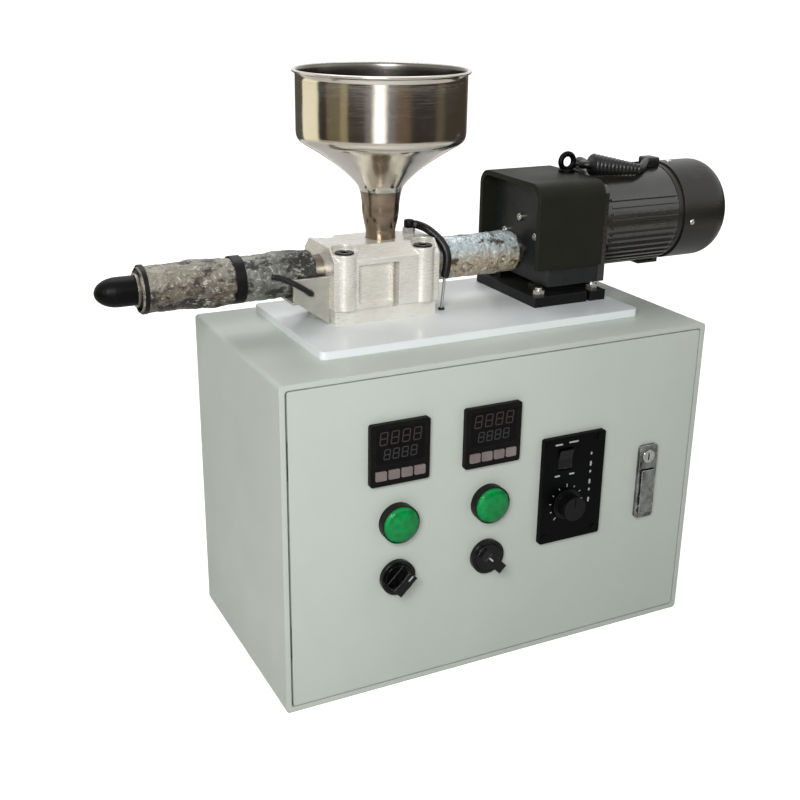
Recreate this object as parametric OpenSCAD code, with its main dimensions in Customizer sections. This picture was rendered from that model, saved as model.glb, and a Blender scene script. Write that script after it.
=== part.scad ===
// Desktop plastic extruder: a sheet-steel control cabinet that carries a small
// screw extruder and its gear motor on top. Millimetres, +Z up, X along the barrel
// towards the motor, and the origin at the middle of the cabinet's underside.

/* [Cabinet] */
// Width of the cabinet
cabinet_w = 350; // [330:5:420]
// Depth of the cabinet, door included
cabinet_d = 180; // [170:5:240]
// Height of the cabinet
cabinet_h = 250; // [245:5:320]
// Thickness of the sheet steel
sheet_t = 1.5; // [1.2:0.1:2]
// Width of the rim that shows round the door
rim_w = 4; // [3:0.5:6]
// Depth of the recess that the door lies in
recess_d = 16; // [15.5:0.5:20]
// Width of the frame behind the door's edge
frame_w = 20; // [18:1:26]
// Radius of the cabinet's long edges
edge_r = 3; // [2:0.5:4]

/* [Door] */
// Gap above, below and to the right of the door
door_gap = 0.8; // [0.6:0.1:1.5]
// Gap along the door's hinged edge
hinge_gap = 1.5; // [1.3:0.1:2]
// Depth of the door's folded edge
door_d = 11; // [9:0.5:11.5]
// Distance from the hinged edge to the hinge pin
hinge_inset = 8; // [7:0.5:10]
// Radius of the hinge pins
hinge_pin_r = 1.5; // [1:0.1:1.6]
// Length of each door knuckle
knuckle_l = 16; // [10:1:24]

/* [Door instruments] */
// Sideways place of the left-hand column of instruments
left_column_x = -88.5; // [-95:0.5:-85]
// Sideways place of the right-hand column of instruments
right_column_x = -14; // [-22:0.5:-10]
// Distance from the cabinet's top to the controllers' middle
controller_drop = 60; // [55:1:65]
// Distance from the cabinet's top to the lamps' middle
lamp_drop = 114; // [109:1:118]
// Distance from the cabinet's top to the selectors' middle
selector_drop = 158; // [151:1:160]
// Side of a controller's bezel
controller_w = 46; // [45:1:50]
// How far a controller stands proud of the door
controller_proud = 4; // [4:0.5:9]
// How far a controller reaches behind the door
controller_depth = 70; // [50:5:80]
// Radius of a pilot lamp's collar
lamp_r = 14.5; // [13:0.5:16]
// Height of a pilot lamp's collar
lamp_collar_h = 7; // [5:0.5:9]
// Radius of a selector switch's ring
selector_r = 13.5; // [12.5:0.5:16]
// Radius of the panel holes for lamps and selectors
panel_hole_r = 11; // [10:0.5:11.5]
// Width of the speed controller's face
speed_w = 55; // [50:1:60]
// Height of the speed controller's face
speed_h = 86; // [80:1:92]
// Sideways place of the speed controller's middle
speed_x = 58; // [54:1:62]
// Distance from the cabinet's top to the speed controller's middle
speed_drop = 115; // [110:1:125]
// Width of the door lock
lock_w = 17; // [15:0.5:20]
// Height of the door lock
lock_h = 62; // [56:1:70]
// Distance from the cabinet's top to the door lock's middle
lock_drop = 124; // [115:1:135]

/* [Base plate] */
// Length of the base plate on top of the cabinet
plate_l = 268; // [262:2:290]
// Depth of the base plate
plate_d = 134; // [128:2:140]
// Thickness of the base plate
plate_t = 6; // [4:0.5:8]
// Sideways place of the base plate's middle
plate_x = 4; // [2:1:8]
// Place of the base plate's middle from front to back
plate_y = 13; // [10:1:16]

/* [Feed block] */
// Length of the feed block along the barrel
block_l = 86; // [84:1:92]
// Depth of the feed block from front to back
block_d = 56; // [52:1:60]
// Height of the feed block with its foot
block_h = 57; // [55:1:62]
// Sideways place of the feed block's middle
block_x = -55; // [-57:0.5:-54]
// Radius of the feed block's corner pillars
pillar_r = 9.5; // [9:0.5:11]
// Height of the barrel's axis above the base plate
axis_h = 36; // [34:0.5:37]
// Place of the barrel's axis from front to back
axis_y = 25; // [20:1:28]

/* [Barrel and screw] */
// Outer radius of the barrel
barrel_r = 12; // [11:0.25:12.25]
// Inner radius of the barrel
bore_r = 8; // [7:0.25:8.5]
// Length of barrel that stands out of the feed block
barrel_out = 138; // [120:2:150]
// Radial gap between the screw's flight and the barrel
screw_gap = 0.15; // [0.1:0.05:0.3]
// Depth of the screw's channel
channel_depth = 2.4; // [1.5:0.1:3]
// Pitch of the screw's flight
screw_pitch = 16; // [12:1:20]
// Width of the screw's flight
flight_w = 2.4; // [1.5:0.1:3]
// Outer radius of the nozzle
nozzle_r = 10.5; // [9.5:0.25:12]
// Length of the nozzle from the barrel's end to its tip
nozzle_l = 28; // [26:1:40]
// Radius of the hole that the plastic leaves through
die_r = 1.5; // [0.8:0.1:2.5]

/* [Heaters and lagging] */
// Thickness of a band heater
heater_t = 2.5; // [2:0.1:3]
// Thickness of the lagging round the heaters
lagging_t = 1.5; // [1:0.1:1.7]
// Length of the rear heater's lagging
rear_lagging_l = 55; // [44:1:56]

/* [Hopper] */
// Inner radius of the hopper's bowl
bowl_r = 61; // [56:0.5:74]
// Height of the hopper's upright wall
bowl_h = 44; // [38:1:56]
// Height of the hopper's cone
cone_h = 77; // [68:1:84]
// Wall thickness of the hopper
hopper_t = 1.2; // [0.8:0.1:1.6]
// Inner radius of the hopper's neck
neck_r = 10; // [9:0.25:10.5]
// How far the hopper's lip flares out
lip_w = 2.5; // [2:0.5:7]
// Sideways place of the hopper's axis
hopper_x = -48; // [-50:0.5:-43]

/* [Motor and gearbox] */
// Width of the motor hood from front to back
hood_w = 90; // [88:1:96]
// Length of the motor hood
hood_l = 60; // [58:1:66]
// Sideways place of the hood's open end
hood_x = 64; // [62:0.5:66]
// Height of the hood's top above the base plate
hood_h = 95; // [93:1:100]
// Wall thickness of the hood
hood_t = 4; // [3:0.25:4.25]
// Height of the motor's axis above the barrel's axis
motor_offset = 22; // [21:0.5:23]
// Radius of the motor's ribbed body
motor_r = 38.5; // [38:0.5:39.5]
// How far the cooling ribs stand out
rib_h = 2.2; // [1.5:0.1:2.5]
// Length of the motor's ribbed body
motor_l = 79; // [78:1:110]
// Radius of the fan cover
fan_cover_r = 40.5; // [40.5:0.5:46]
// Length of the fan cover
fan_cover_l = 51; // [46:1:66]
// Number of teeth on the small gears
pinion_teeth = 12; // [11:1:13]
// Number of teeth on the large gears
wheel_teeth = 40; // [39:1:41]

/* [Hidden] */
$fn = 48;
overrun = 1;                  // how far each cut runs past what it cuts
run_gap = 0.05;               // radial gap of a shaft in its bearing
fit_gap = 0.1;                // gap of a piece that seats in a hole
loose_gap = 0.3;              // gap between pieces that move past each other

// Cabinet, door and hinges
front_y = -cabinet_d / 2;
back_y = cabinet_d / 2;
frame_y = front_y + recess_d;
recess_r = 2.5;
door_x = (hinge_gap - door_gap) / 2;
door_w = cabinet_w - 2 * rim_w - door_gap - hinge_gap;
door_h = cabinet_h - 2 * (rim_w + door_gap);
door_mid_z = cabinet_h / 2;
door_r = 2;
knuckle_wall = 1;
knuckle_r = hinge_pin_r + knuckle_wall;
hinge_x = door_x - door_w / 2 + hinge_inset;
hinge_y = front_y + sheet_t + knuckle_r;
hinge_rise = 70;              // height of each hinge from the middle of the door
hinge_arm_t = 4;              // thickness of each hinge arm
hinge_arm_w = 4;
hinge_arm_x = 2;              // the arms keep this far to the inside of the pin
notch_play = 2;
gasket_w = 8;
gasket_gap = 0.3;
stud_r = 3;
stud_l = 12;
stud_inset = 24;
panel_margin = 18;
panel_t = 2;
panel_y = back_y - sheet_t - stud_l;
stud_tip_r = 2;
stud_tip_l = 4;
gland_x = 95;
gland_z = 28;
gland_hole_r = 8;
gland_bore_r = 4;
gland_inner_r = 5.5;
gland_nut_r = 11;
gland_nut_l = 5;
gland_dome_l = 14;
gland_dome_r = 9;
gland_inner_l = 6;

// Electrical pieces on the mounting panel
relay_w = 45;
relay_h = 60;
relay_d = 24;
relay_gap = 25;
relay_drop = 70;
relay_z = cabinet_h - relay_drop;
relay_x = -30;
strip_w = 150;
strip_h = 24;
strip_d = 18;
strip_z = 60;
strip_poles = 10;
strip_screw_r = 3;
strip_pocket = 2;

// Heights of the instruments' middles
controller_z = cabinet_h - controller_drop;
lamp_z = cabinet_h - lamp_drop;
selector_z = cabinet_h - selector_drop;
speed_z = cabinet_h - speed_drop;
lock_z = cabinet_h - lock_drop;

// Temperature controllers
controller_flange = 2;        // the bezel's overhang round the body behind the door
controller_body_w = controller_w - 2 * controller_flange;
window_margin = 4;
window_h = 27;
window_t = 1.5;
window_drop = 3;              // from the bezel's top edge to the window
key_count = 4;
key_w = 8.5;
key_h = 7;
key_r = 1;
key_t = 3;
key_proud = 1;
key_travel = 0.6;
key_pitch = 10;
key_rise = 8;                 // from the bezel's bottom edge to the keys' middle
key_play = 0.25;
bezel_r = 2;

// Pilot lamps and selectors
lens_rim = 0.8;
lens_r = lamp_r - lens_rim;
lens_seat = 3;                // depth of the lens's seat in its collar
lens_h = 4;                   // height of the lens above its collar
lamp_body_l = 34;
selector_ring_h = 4;
selector_body_l = 40;
selector_rim = 3;
knob_r = selector_r - selector_rim;
knob_base_h = 3;
knob_gap = 0.2;
grip_w = 8;
grip_h = 11;
grip_inset = 1.5;
knob_stem_r = 4;
knob_stem_l = 6;
left_knob_angle = -45;        // seen from the front, clockwise is negative
right_knob_angle = 45;

// Speed controller
speed_t = 4;
speed_body_margin = 5;
speed_body_d = 35;
speed_knob_x = -5;
speed_knob_z = -12;
speed_knob_r = 9.5;
speed_knob_h = 12;
speed_knob_skirt_r = 12;
speed_knob_skirt_h = 2;
pointer_w = 1.2;
pointer_d = 0.8;
speed_stem_r = 3;
speed_stem_l = 5;
rocker_x = -8;
rocker_z = 25;
rocker_w = 12;
rocker_h = 16;
rocker_d = 8;
rocker_proud = 2;
rocker_play = 1.2;
rocker_pin_r = 1.5;
rocker_pin_l = 1.5;
rocker_pin_y = 2;               // depth of the rocker's pins behind the face
face_screw_r = 2.5;
face_screw_inset = 5;
face_screw_h = 1.2;

// Door lock
lock_side = 45.5;             // from the cabinet's side to the lock's middle
lock_x = cabinet_w / 2 - lock_side;
lock_t = 3;
lock_body_d = 17;
lock_wall = 2;
lock_corner_r = 3;
key_cylinder_r = 5.5;
handle_side = 2.5;
handle_w = lock_w - 2 * handle_side;
lock_head_l = 20;             // the part of the lock above the handle's pocket
handle_l = lock_h - lock_head_l - 2 * lock_wall;
handle_t = 5;
handle_proud = 1.5;
handle_play = 0.8;
handle_pin_r = 1.5;
handle_pin_rise = 6;          // from the pocket's lower end to the handle's pin
handle_back = 5;              // room behind the handle for fingers
keyhole_w = 1.4;
keyhole_h = 6;
keyhole_d = 4;
cylinder_proud = 0.5;
cam_w = 10;
cam_t = 2;
cam_gap = 0.5;
cam_reach = 5;                // how far the cam reaches behind the frame when it locks

// Base plate and the holes through it
plate_top = cabinet_h + plate_t;
plate_r = 4;
sensor_hole_dx = 51;
sensor_hole_dy = 18;
sensor_hole_x = block_x + sensor_hole_dx;
sensor_hole_y = axis_y - sensor_hole_dy;
sensor_hole_r = 1.5;
cable_hole_r = 4.5;

// Feed block
axis_z = plate_top + axis_h;
block_top = plate_top + block_h;
foot_h = 11;
foot_inset = 1.5;
pillar_x = 32;                // from the block's middle to each pillar's axis
pillar_inset = 7;
pillar_y = block_d / 2 - pillar_inset;   // from the barrel's axis to each pillar's axis
bevel = 9;
head_r = 7;
head_h = 8;
head_sink = 4.5;               // from the block's top down to the pillars' tops
head_proud = 1;
socket_r = 3.4;
socket_d = 4;
bolt_r = 4;
waist_depth = 4;
waist_left = 23;              // the waist's ends and the slot, from the block's middle
waist_right = 4;
waist_x0 = block_x - waist_left;
waist_x1 = block_x + waist_right;
slot_right = 7;
slot_x = block_x + slot_right;
slot_w = 5;
slot_depth = 9;
block_left = block_x - block_l / 2;
block_right = block_x + block_l / 2;

// Barrel, screw, bearing housing and coupling
barrel_seat = 78;             // length of barrel inside the feed block
barrel_left = block_left - barrel_out;
barrel_right = block_left + barrel_seat;
feed_slot_r = 7;
screw_r = bore_r - screw_gap;
core_r = screw_r - channel_depth;
flight_inset = 3;
flight_left = barrel_left + flight_inset;
throat_run = 5;               // the flight runs this far past the feed slot
flight_right = hopper_x + feed_slot_r + throat_run;
flight_steps = 20;
flight_bite = 0.6;
flight_end = 1;                // the flight ends this far from the screw's plain part
shank_r = 6;
screw_stop = 4;
screw_right = hood_x - screw_stop;
screw_plug_r = screw_r;
housing_r = 15;
housing_bore_r = 12.7;
housing_reach = 6;
housing_right = hood_x + housing_reach;
bearing_l = 9;
bearing_gap = 0.2;
bearing_inset = 8;
bearing_x = block_right + bearing_inset;
collar_r = 10;
collar_l = 4;
coupling_r = 11;
coupling_l = 22;
coupling_shift = 2;
coupling_x = screw_right - coupling_l / 2 + coupling_shift;
out_shaft_r = 5;

// Nozzle
nozzle_spigot_r = bore_r - fit_gap;
nozzle_spigot_l = 2.5;
nozzle_dome_l = 16;
melt_r = 5;

// Heaters, lagging and straps
heater_r = barrel_r + fit_gap + heater_t;
lagging_in_r = heater_r + loose_gap;
lagging_r = lagging_in_r + lagging_t;
heater_margin = 4;
lagging_inset = 2;
lagging_to_block = 8;
front_lagging_x = barrel_left + lagging_inset;
rear_lagging_x = block_left - lagging_to_block - rear_lagging_l;
lagging_joint = 5;             // gap between the laggings, under the wide strap
front_lagging_l = rear_lagging_x - lagging_joint - front_lagging_x;
strap_w = 3;
joint_strap_w = 7.5;
strap_t = 0.8;
housing_lagging_gap = 4;
housing_lagging_reach = 3;
housing_lagging_x0 = block_right + housing_lagging_gap;
housing_lagging_x1 = hood_x + housing_lagging_reach;
housing_lagging_t = 1.3;

// Barrel saddle
saddle_t = 2;
saddle_l = 28;
saddle_play = 0.8;
saddle_in_r = lagging_r + saddle_play;
saddle_toe = 16;              // the cheek's height at its far end
wire_hole_dx = 15;
wire_hole_dz = 11;
wire_hole_x = block_left - wire_hole_dx;
wire_hole_z = axis_z - wire_hole_dz;
wire_hole_r = 2.4;

// Hopper
neck_socket_gap = 0.2;
socket_ledge_h = 1;
socket_ledge_r = 7.5;
neck_depth = block_h - axis_h - barrel_r - socket_ledge_h;

// Gearbox, bracket and hood
hood_corner_r = 12;
hood_skirt = 29;              // from the base plate to the hood's lower edge
hood_right = hood_x + hood_l;
hood_top = plate_top + hood_h;
gearbox_l = 47;
gearbox_wall = 4;
hood_play = 0.5;
gearbox_half_w = hood_w / 2 - hood_t - hood_play;
gearbox_corner_r = hood_corner_r - hood_t - hood_play;
gearbox_top = hood_top - hood_t - hood_play;
gearbox_proud = 1;
gearbox_right = hood_right + gearbox_proud;
gearbox_left = gearbox_right - gearbox_l;
bracket_t = 8;
bracket_rib_t = 8;
bracket_l = 66;
bracket_half_w = hood_w / 2;
bracket_bolt_inset = 8;
bracket_bolt_r = 3;
bracket_nut_r = 5;
bracket_nut_h = 4;
bracket_stud_end = 2;
bracket_notch_x = 50;
bracket_notch_w = 3;
gearbox_bottom = plate_top + bracket_t + bracket_nut_h + bracket_stud_end + run_gap;
motor_z = axis_z + motor_offset;
gear_module = 0.8;
gear_distance = gear_module * (pinion_teeth + wheel_teeth) / 2;
idler_y = axis_y + sqrt(pow(gear_distance, 2) - pow(motor_offset / 2, 2));
idler_z = axis_z + motor_offset / 2;
stage_inset = 15;
stage_one_x = gearbox_right - stage_inset;
stage_one_l = 6;
stage_two_x = gearbox_left + stage_inset;
stage_two_l = 8;
pinion_extra = 1;
// A tooth's four corners: half its width in pitches, and its height in modules
tooth_half_shares = [0.30, 0.115, 0.115, 0.30];
tooth_edge_shares = [-1.2, 0.85, 0.85, -1.2];
gear_shaft_r = 3;
boss_r = 11;
boss_l = 10;

// Motor
motor_left = gearbox_right;
motor_right = motor_left + motor_l;
motor_wall = 6;
rib_count = 44;
rib_w = 2;
rib_skip_x = 12;
rib_stop_x = 2;                // the ribs end this far from the end bell
plain_from = 80;               // the top and the upper front stay plain, without ribs
plain_to = 150;
flange_l = 6;
front_wall_t = 4;
end_bell_l = 5;
end_bell_step = 1.5;
end_bell_r = fan_cover_r - end_bell_step;
lug_l = 20;
lug_w = 18;
lug_h = 8;
fan_cover_t = 1.5;
fan_cover_x = motor_right + end_bell_l;
fan_cover_end_r = 18;
fan_cover_right = fan_cover_x + fan_cover_l;
grille_rings = 5;
grille_slot = 2.4;
grille_spokes = 4;
spoke_w = 5;
grille_hub_r = 7;
shaft_r = 5;
stator_gap = 0.2;
stator_r = motor_r - motor_wall - stator_gap;
rotor_r = 20;
air_gap = 0.5;
stator_inset = 18;
stator_x0 = motor_left + stator_inset;
rotor_inset = 2;
shaft_step = 1;
stator_l = 58;
fan_r = 33;
fan_l = 16;
fan_inset = 12;
fan_x = fan_cover_x + fan_inset;
fan_rim = 1;
fan_hub_r = 10;
fan_blades = 6;
fan_blade_t = 2;
fan_disc_t = 2;

// Lifting eye
eye_inset = 7;
eye_x = hood_right - eye_inset;
eye_r = 6;
eye_wire_r = 2.2;
eye_base_r = 6.5;
eye_base_h = 2.5;
eye_sink = 2.2;

// Motor lead: from a box on the motor through a ribbed sleeve and down into the cabinet.
// Its points are measured from the motor's axis, where it leaves the gearbox
lead_r = 3.2;
lead_sides = 10;
lead_box_w = 14;
lead_box_l = 12;
lead_box_h = 7;
lead_box_dx = 65;
lead_box_x = motor_left + lead_box_dx;
motor_hole_dx = 21;
motor_hole_dy = 50;
lead_start_points = [
  [69, -6, 42.2], [65, -7.5, 42.2], [60, -11.5, 41.6], [55, -16, 40.4], [50, -19.2, 39.4],
  [45, -20.3, 39.2]
];
lead_points = [
  [9, -17.2, 44.2], [3, -17, 44.8], [-0.4, -15.4, 44.8], [-1.4, -12, 44.4], [0.6, -8.4, 43.8],
  [4.6, -5.8, 43.5], [7.6, -2, 43.6], [9.4, 3.5, 43.8], [11.5, 11, 43.4], [14, 19.5, 40],
  [16.5, 28, 34.5], [18.5, 36, 26.5], [20, 42, 17], [21, 46.5, 4], [21, 49, -9],
  [21, 50, -22], [21, 50, -35], [21, 50, -47], [21, 50, -58], [21, 50, -68]
];
sleeve_from = [48, -20.5, 39];
sleeve_to = [3, -17.5, 45];
sleeve_r0 = 4.4;
sleeve_r1 = 9;
sleeve_groove = 1;
sleeve_ribs = 12;

// Sensor lead: from a probe in the feed block over its right-hand edge, then a bare rod into
// the base plate. Its points are measured from the middle of the block's top
sensor_lead_r = 3.2;
sensor_lead_points = [
  [34, 6, 5.5], [37.5, 5.5, 6], [41, 3, 5.4], [44.5, -4, 3.6], [49.5, -11, -1.7],
  [52.6, -16, -7.5], [54.2, -19, -14.4], [53.6, -20, -22.8], [52.2, -19.6, -31]
];
rod_r = 1.1;
rod_sides = 8;
rod_points = [
  [52.4, -19.6, -28], [52, -19.2, -37], [51.5, -18.6, -47], [51, -18, -56], [51, -18, -67]
];
grommet_r = 2.6;
grommet_h = 1.6;
probe_dx = 34;
probe_dy = 6;
probe_r = 3.9;
probe_hex_r = 5;
probe_hex_h = 4;
probe_h = 10;

// Heater wire that passes the saddle's front cheek, measured from where the barrel's axis
// enters the block
wire_r = 2;
wire_sides = 8;
wire_points = [
  [-44, -18.4, 4], [-38, -19.2, 2.6], [-32, -20.8, -0.2], [-27, -22.1, -2.8], [-20.5, -23, -7],
  [-16.5, -23, -10], [-15, -21, -11], [-15, -18.5, -11], [-15, -16, -11]
];

// Helpers

// Extrusions inside run along +X: their x becomes Y and their y becomes Z
module along_x(x, y, z) {
  translate([x, y, z])
    rotate([90, 0, 90])
      children();
}

// Extrusions inside run towards the front, along -Y: their y becomes Z
module to_front(x, y, z) {
  translate([x, y, z])
    rotate([90, 0, 0])
      children();
}

module box(low, high) {
  translate(low)
    cube(high - low);
}

module rounded_rect(w, h, r) {
  square([w - 2 * r, h], center = true);
  square([w, h - 2 * r], center = true);
  for (sx = [-1, 1], sy = [-1, 1])
    translate([sx * (w / 2 - r), sy * (h / 2 - r)])
      circle(r);
}

module ring(r_out, r_in, l) {
  difference() {
    cylinder(r = r_out, h = l);
    translate([0, 0, -overrun])
      cylinder(r = r_in, h = l + 2 * overrun);
  }
}

// A toothed wheel outline: each tooth narrows from its root to its tip
function gear_points(teeth, phase) = [
  for (i = [0 : teeth - 1], k = [0 : 3])
    let (
      pitch = 360 / teeth,
      half = tooth_half_shares[k] * pitch,
      side = k < 2 ? -1 : 1,
      pitch_r = gear_module * teeth / 2,
      r = pitch_r + tooth_edge_shares[k] * gear_module,
      a = phase + i * pitch + side * half
    )
    [r * cos(a), r * sin(a)]
];

module gear(teeth, phase, l) {
  linear_extrude(l)
    polygon(gear_points(teeth, phase));
}

// Phase that puts a gap of the second gear on a tooth of the first
function meshing_phase(angle, phase_a, teeth_a, teeth_b) =
  angle + 180 - (0.5 - (angle - phase_a) * teeth_a / 360) * 360 / teeth_b;

// Ring of points round a route's point, square to the route there
function unit(v) = v / norm(v);
function route_tangent(pts, i) =
  unit(pts[min(i + 1, len(pts) - 1)] - pts[max(i - 1, 0)]);
function route_side(t) = unit(cross(t, abs(t[2]) > 0.95 ? [1, 0, 0] : [0, 0, 1]));

// Sideways direction carried along the route, so the tube doesn't twist
function carried_sides(pts, i = 0, sides = []) =
  i == len(pts) ? sides :
  let (
    t = route_tangent(pts, i),
    last = i == 0 ? route_side(t) : sides[i - 1],
    s = unit(last - (last * t) * t)
  )
  carried_sides(pts, i + 1, concat(sides, [s]));

module route_tube(pts, r, sides) {
  dirs = carried_sides(pts);
  rings = [
    for (i = [0 : len(pts) - 1], k = [0 : sides - 1])
      let (
        t = route_tangent(pts, i),
        u = dirs[i],
        v = cross(t, u),
        a = 360 * k / sides
      )
      pts[i] + r * (cos(a) * u + sin(a) * v)
  ];
  walls = [
    for (i = [0 : len(pts) - 2], k = [0 : sides - 1])
      let (
        a = i * sides + k,
        b = i * sides + (k + 1) % sides,
        c = a + sides,
        d = b + sides
      )
      each [[a, c, b], [b, c, d]]
  ];
  start = [for (k = [0 : sides - 1]) k];
  end = [for (k = [sides - 1 : -1 : 0]) (len(pts) - 1) * sides + k];
  polyhedron(points = rings, faces = concat(walls, [start], [end]), convexity = 6);
}

// Cabinet

module hinge_places() {
  for (s = [-1, 1])
    translate([hinge_x, hinge_y, door_mid_z + s * hinge_rise])
      children();
}

// One hinge arm: an eye round the pin, and a leg back to the frame
module hinge_arm() {
  difference() {
    union() {
      cylinder(r = knuckle_r - fit_gap, h = hinge_arm_t, center = true);
      translate([0, -hinge_pin_r, -hinge_arm_t / 2])
        cube([hinge_arm_x + hinge_arm_w, 2 * hinge_pin_r, hinge_arm_t]);
      translate([hinge_arm_x, 0, -hinge_arm_t / 2])
        cube([hinge_arm_w, frame_y - hinge_y, hinge_arm_t]);
    }
    cylinder(r = hinge_pin_r + run_gap, h = hinge_arm_t + 2 * overrun, center = true);
  }
}

module stud_places(reach_y) {
  for (sx = [-1, 1], sz = [0, 1])
    to_front(
      sx * (cabinet_w / 2 - panel_margin - stud_inset),
      reach_y,
      sz == 0 ? panel_margin + stud_inset : cabinet_h - panel_margin - stud_inset
    )
      children();
}

module block_screw_places() {
  for (sx = [-1, 1], sy = [-1, 1])
    translate([block_x + sx * pillar_x, axis_y + sy * pillar_y, 0])
      children();
}

module bracket_bolt_places() {
  for (sx = [0, 1], sy = [-1, 1])
    translate([
      hood_x + bracket_bolt_inset + sx * (bracket_l - 2 * bracket_bolt_inset),
      axis_y + sy * (bracket_half_w - bracket_bolt_inset),
      0
    ])
      children();
}

module top_holes(low, high) {
  translate([0, 0, low]) {
    block_screw_places()
      cylinder(r = bolt_r + fit_gap, h = high - low);
    bracket_bolt_places()
      cylinder(r = bracket_bolt_r + fit_gap, h = high - low);
    translate([sensor_hole_x, sensor_hole_y, 0])
      cylinder(r = sensor_hole_r, h = high - low);
    translate([motor_left + motor_hole_dx, axis_y + motor_hole_dy, 0])
      cylinder(r = cable_hole_r, h = high - low);
  }
}

module cabinet_body() {
  color("#b7c0b5") {
    difference() {
      to_front(0, back_y, door_mid_z)
        linear_extrude(cabinet_d)
          rounded_rect(cabinet_w, cabinet_h, edge_r);
      to_front(0, frame_y, door_mid_z)
        linear_extrude(recess_d + overrun)
          rounded_rect(cabinet_w - 2 * rim_w, cabinet_h - 2 * rim_w, recess_r);
      to_front(0, frame_y + sheet_t + overrun, door_mid_z)
        linear_extrude(sheet_t + 2 * overrun)
          rounded_rect(
            cabinet_w - 2 * (rim_w + frame_w),
            cabinet_h - 2 * (rim_w + frame_w),
            recess_r
          );
      box(
        [sheet_t - cabinet_w / 2, frame_y + sheet_t, sheet_t],
        [cabinet_w / 2 - sheet_t, back_y - sheet_t, cabinet_h - sheet_t]
      );
      top_holes(cabinet_h - sheet_t - overrun, cabinet_h + overrun);
      to_front(gland_x, back_y + overrun, gland_z)
        cylinder(r = gland_hole_r + fit_gap, h = sheet_t + 2 * overrun);
    }
    stud_places(back_y - sheet_t)
      cylinder(r = stud_r, h = stud_l);
    stud_places(panel_y)
      cylinder(r = stud_tip_r, h = panel_t + stud_tip_l);
    hinge_places()
      for (s = [-1, 1])
        translate([0, 0, s * (knuckle_l / 2 + hinge_arm_t / 2 + loose_gap)])
          hinge_arm();
  }
}

module mounting_panel() {
  color("#c9ccc8")
    difference() {
      box(
        [panel_margin - cabinet_w / 2, panel_y - panel_t, panel_margin],
        [cabinet_w / 2 - panel_margin, panel_y, cabinet_h - panel_margin]
      );
      stud_places(panel_y + overrun)
        cylinder(r = stud_tip_r + fit_gap, h = panel_t + 2 * overrun);
    }
}

module hinge_pins() {
  color("silver")
    hinge_places()
      cylinder(
        r = hinge_pin_r,
        h = knuckle_l + 2 * hinge_arm_t + 2 * loose_gap,
        center = true
      );
}

module terminal_strip() {
  strip_y = panel_y - panel_t;
  pole_pitch = strip_w / strip_poles;
  color("#2a2a2c")
    difference() {
      box(
        [-strip_w / 2, strip_y - strip_d, strip_z - strip_h / 2],
        [strip_w / 2, strip_y, strip_z + strip_h / 2]
      );
      for (i = [0 : strip_poles - 1], s = [-1, 1])
        to_front(
          (i + 0.5) * pole_pitch - strip_w / 2,
          strip_y - strip_d + strip_pocket,
          strip_z + s * strip_h / 4
        )
          cylinder(r = strip_screw_r, h = strip_pocket + overrun);
    }
}

module solid_state_relays() {
  relay_y = panel_y - panel_t;
  color("#e4e2da")
    for (i = [0, 1])
      translate([relay_x + i * (relay_w + relay_gap), relay_y - relay_d, relay_z - relay_h / 2])
        cube([relay_w, relay_d, relay_h]);
}

module cable_gland() {
  color("#1c1c1e")
    difference() {
      union() {
        to_front(gland_x, back_y, gland_z)
          cylinder(r = gland_hole_r, h = sheet_t + gland_inner_l);
        to_front(gland_x, back_y + gland_nut_l, gland_z)
          cylinder(r = gland_nut_r, h = gland_nut_l, $fn = 6);
        to_front(gland_x, back_y + gland_nut_l + gland_dome_l, gland_z)
          cylinder(r1 = gland_bore_r + sheet_t, r2 = gland_dome_r, h = gland_dome_l);
      }
      to_front(gland_x, back_y + gland_nut_l + gland_dome_l + overrun, gland_z)
        cylinder(r = gland_bore_r, h = gland_dome_l + 2 * overrun);
      to_front(gland_x, back_y + gland_nut_l, gland_z)
        cylinder(r = gland_inner_r, h = gland_nut_l + sheet_t + gland_inner_l + overrun);
    }
}

// Base plate and feed block

module base_plate() {
  color("#d5dad4")
    difference() {
      translate([plate_x, plate_y, cabinet_h])
        linear_extrude(plate_t)
          rounded_rect(plate_l, plate_d, plate_r);
      top_holes(cabinet_h - overrun, plate_top + overrun);
    }
}

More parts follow.
